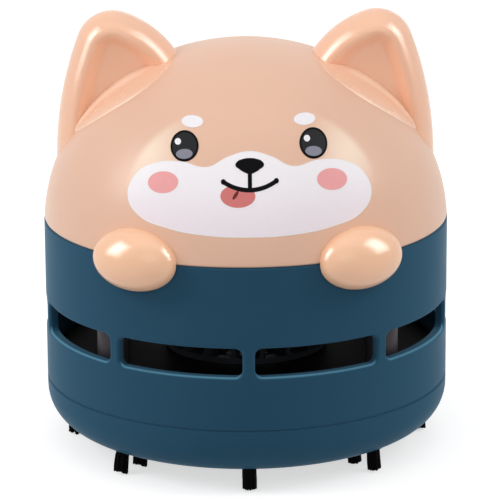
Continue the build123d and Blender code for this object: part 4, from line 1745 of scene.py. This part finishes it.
# --- Switch marks --------------------------------------------------------------------------------
@dataclass(frozen=True)
class SwitchMarks:
    """The ring for off and the bar for on, printed either side of the switch at the back."""

    face: float = 41.5 * MM  # the flat recess, which faces +Y
    height: float = 40.0 * MM
    off_to_side: float = 6.7 * MM
    tall: float = 2.2 * MM
    stroke: float = 0.42 * MM
    film: float = 0.03 * MM

    def ring(self) -> Mesh:
        """Draws the ring.

        Returns:
            The flat shape, in the XY plane about the origin.
        """
        shape = bmesh.new()
        for radius in (self.tall / 2 - self.stroke, self.tall / 2):
            bmesh.ops.create_circle(shape, segments=40, radius=radius)
        bmesh.ops.bridge_loops(shape, edges=shape.edges[:])
        return shape

    def bar(self) -> Mesh:
        """Draws the bar.

        Returns:
            The flat shape, in the XY plane about the origin.
        """
        shape = bmesh.new()
        size = Matrix.Diagonal((self.stroke / 2, self.tall / 2, 1, 1))
        bmesh.ops.create_grid(shape, x_segments=1, y_segments=1, size=1.0, matrix=size)
        return shape

    def build(self) -> None:
        """Prints both marks."""
        for name, shape, side in (("off", self.ring(), Side.LEFT), ("on", self.bar(), Side.RIGHT)):
            grown = bmesh.ops.extrude_face_region(shape, geom=shape.faces[:], use_keep_orig=True)["geom"]
            top = [g for g in grown if isinstance(g, bmesh.types.BMVert)]
            bmesh.ops.translate(shape, vec=(0, 0, 2 * self.film), verts=top)
            place = (side.value * self.off_to_side, self.face + self.film, self.height)
            stand = Matrix.Translation(place) @ Matrix.Rotation(QUARTER_TURN, 4, "X")
            bmesh.ops.transform(shape, matrix=stand, verts=shape.verts[:])
            bmesh.ops.recalc_face_normals(shape, faces=shape.faces[:])
            finish_piece(make_object(shape, f"mark_{name}"), INK_WHITE, Body.BODY)


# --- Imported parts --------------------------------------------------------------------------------
class PackedParts:
    """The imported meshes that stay, each with its finish."""

    FINISHES: dict[Finish, tuple[str, ...]] = {
        TEAL: ("body_shell", "dust_cup"),
        PAW_PEACH: ("left_paw", "right_paw"),
        KNOB_ABS: ("switch_knob",),
        CHASSIS_ABS: ("chassis",),
        SHROUD_ABS: ("fan_shroud",),
        BLACK_ABS: ("battery_tray", "motor_end_cap", "switch_housing"),
        FAN_ABS: ("impeller",),
        POLYPROPYLENE: ("filter_frame",),
        CLOTH: ("filter_mesh",),
        RUBBER: ("cup_seal",),
        FERRITE: ("motor_magnets",),
        DRAWN_STEEL: ("motor_shaft",),
        CAN_STEEL: ("motor_can",),
        SPRING_STEEL: ("contact_plates", "contact_springs"),
        SCREW_STEEL: ("chassis_screws", "shroud_screws", "tray_screws", "ear_screws", "paw_screws"),
        BRASS: ("motor_terminals",),
        WINDING: ("motor_rotor",),
        FRONT_SLEEVE: ("front_cell",),
        REAR_SLEEVE: ("rear_cell",),
    }

    def build(self) -> None:
        """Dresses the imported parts."""
        for finish, names in self.FINISHES.items():
            for name in names:
                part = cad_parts[name]
                part.data.materials.clear()
                part.data.materials.append(finish.material())
                LOG.info("%s: %s", name, finish.name)


# --- Studio --------------------------------------------------------------------------------------
@dataclass(frozen=True)
class SoftBox:
    """An area lamp that looks at the object."""

    name: str
    place: tuple[float, float, float]
    size: Pair
    watts: float

    def build(self, aim: Vector) -> Object:
        """Hangs the lamp.

        Args:
            aim: what it looks at.

        Returns:
            The lamp's object.
        """
        lamp = bpy.data.lights.new(self.name, "AREA")
        lamp.shape = "RECTANGLE"
        lamp.size, lamp.size_y = self.size
        lamp.energy = self.watts
        holder = add_object(self.name, lamp)
        holder.location = self.place
        holder.rotation_euler = (aim - Vector(self.place)).to_track_quat("-Z", "Y").to_euler()
        return holder


@dataclass(frozen=True)
class GleamCard(SoftBox):
    """A card that adds no light: only the polish of chosen pieces mirrors it, as it would a window."""

    pieces: tuple[str, ...] = ()  # pieces that are made here
    nodes: tuple[str, ...] = ()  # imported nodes

    def build(self, aim: Vector) -> Object:
        """Hangs the card.

        Args:
            aim: what it looks at.

        Returns:
            The card's object.
        """
        card = super().build(aim)
        card.visible_diffuse = False
        mirrors = bpy.data.collections.new(f"mirrors_of_{self.name}")
        for name in self.pieces:
            mirrors.objects.link(bpy.data.objects[name])
        for name in self.nodes:
            mirrors.objects.link(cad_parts[name])
        card.light_linking.receiver_collection = mirrors
        return card


EAR_PIECES = ("left_ear_blade", "right_ear_blade", "left_ear_lip", "right_ear_lip")
PAW_NODES = ("left_paw", "right_paw")


@dataclass(frozen=True)
class Studio:
    """Pale floor, soft lamps, cards for the gleams, a white surround and the camera."""

    aim: Vector = Vector((0, 0, 45 * MM))
    distance: float = 681.39 * MM
    azimuth: float = math.radians(-0.57)
    elevation: float = math.radians(15.523)
    roll: float = math.radians(-0.372)
    lens: float = 231.8
    sensor: float = 36.0
    nearest: float = 10 * MM  # the camera sees nothing nearer than this
    shift: Pair = (0.00836, -0.04136)
    ambient: float = 0.58  # the surround's strength where it lights things
    floor_colour: str = "#CFCFCF"
    floor_half: float = 3.0
    floor_lift: float = 0.62  # what the eye sees on top, so that the floor reads as white
    boxes: tuple[SoftBox, ...] = (
        SoftBox("lamp_left", (-0.70, -0.13, 0.50), (0.24, 0.38), 2.0),
        SoftBox("lamp_right", (0.67, -0.11, 0.55), (0.24, 0.38), 1.3),
        SoftBox("lamp_top", (0.0, -0.1, 1.0), (0.9, 0.6), 1.0),
        SoftBox("lamp_front", (0.0, -1.5, 0.8), (1.2, 0.9), 2.3),
        GleamCard("ear_card_left", (-0.74, -0.14, 0.49), (0.55, 0.85), 8.0, pieces=EAR_PIECES),
        GleamCard("ear_card_right", (0.71, -0.12, 0.54), (0.55, 0.85), 8.0, pieces=EAR_PIECES),
        GleamCard("paw_card_left", (-0.70, -0.13, 0.48), (0.44, 0.66), 6.4, nodes=PAW_NODES),
        GleamCard("paw_card_right", (0.67, -0.11, 0.53), (0.44, 0.66), 6.4, nodes=PAW_NODES),
    )

    def build(self) -> None:
        """Sets the studio up."""
        self.lay_floor()
        self.light_world()
        for box in self.boxes:
            box.build(self.aim)
        self.place_camera()
        bpy.context.scene.view_settings.view_transform = "Standard"

    def lay_floor(self) -> None:
        """Lays the floor, which the camera sees as white apart from the object's shadow."""
        shape = bmesh.new()
        bmesh.ops.create_grid(shape, x_segments=1, y_segments=1, size=self.floor_half)
        floor = make_object(shape, "floor")
        made = bare_material("Floor_paper")
        tree = made.node_tree
        paper = add_node(tree, "ShaderNodeBsdfDiffuse", {"Color": linear(self.floor_colour)})
        lift = add_node(tree, "ShaderNodeEmission", {"Strength": self.floor_lift})
        mixed = add_node(tree, "ShaderNodeAddShader", links={0: paper.outputs[0], 1: lift.outputs[0]})
        chosen = add_node(
            tree,
            "ShaderNodeMixShader",
            links={0: self.seen_or_mirrored(tree), 1: paper.outputs[0], 2: mixed.outputs[0]},
        )
        add_node(tree, "ShaderNodeOutputMaterial", links={"Surface": chosen.outputs[0]})
        floor.data.materials.append(made)

    def seen_or_mirrored(self, tree: Tree) -> Socket:
        """Tells the rays of the eye, of reflections and of glass from those that light the object.

        Args:
            tree: the tree to do it in.

        Returns:
            1 for the former, 0 for the latter.
        """
        paths = add_node(tree, "ShaderNodeLightPath")
        chosen = paths.outputs["Is Camera Ray"]
        for ray in ("Is Glossy Ray", "Is Transmission Ray"):
            chosen = add_node(
                tree, "ShaderNodeMath", links={0: chosen, 1: paths.outputs[ray]}, operation="MAXIMUM"
            ).outputs[0]
        return chosen

    def light_world(self) -> None:
        """Makes the surround white to the eye and in reflections, and plain light for the rest."""
        world = bpy.data.worlds.new("Surround")
        world.use_nodes = True
        tree = world.node_tree
        tree.nodes.clear()
        strength = add_node(
            tree, "ShaderNodeMapRange", {"To Min": self.ambient}, {"Value": self.seen_or_mirrored(tree)}
        )
        sky = add_node(
            tree,
            "ShaderNodeBackground",
            {"Color": (1, 1, 1, 1)},
            {"Strength": strength.outputs["Result"]},
        )
        add_node(tree, "ShaderNodeOutputWorld", links={"Surface": sky.outputs[0]})
        bpy.context.scene.world = world

    def place_camera(self) -> None:
        """Places the camera."""
        lens = bpy.data.cameras.new("camera")
        lens.lens = self.lens
        lens.sensor_width = self.sensor
        lens.shift_x, lens.shift_y = self.shift
        lens.clip_start = self.nearest
        holder = add_object("camera", lens)
        level = math.cos(self.elevation)
        across, along = level * math.sin(self.azimuth), -level * math.cos(self.azimuth)
        toward = Vector((across, along, math.sin(self.elevation)))
        holder.location = self.aim + toward * self.distance
        turned = (-toward).to_track_quat("-Z", "Y") @ Quaternion((0, 0, 1), self.roll)
        holder.rotation_euler = turned.to_euler()
        bpy.context.scene.camera = holder


def main() -> None:
    """Builds the studio and every piece."""
    logging.basicConfig(level=logging.INFO, format="%(name)s: %(message)s")
    head = HeadShell()
    head.build()
    for side in Side:
        Ear(side).build(head)
        EarLip(side, head.dome).build()
    FacePrint(head.dome).build()
    BristleRing("outer", 36.5 * MM, 0.02 * MM).build()
    BristleRing("inner", 31.0 * MM, 0.15 * MM).build()
    SwitchMarks().build()
    PackedParts().build()
    Studio().build()


if __name__ == "__main__":
    main()
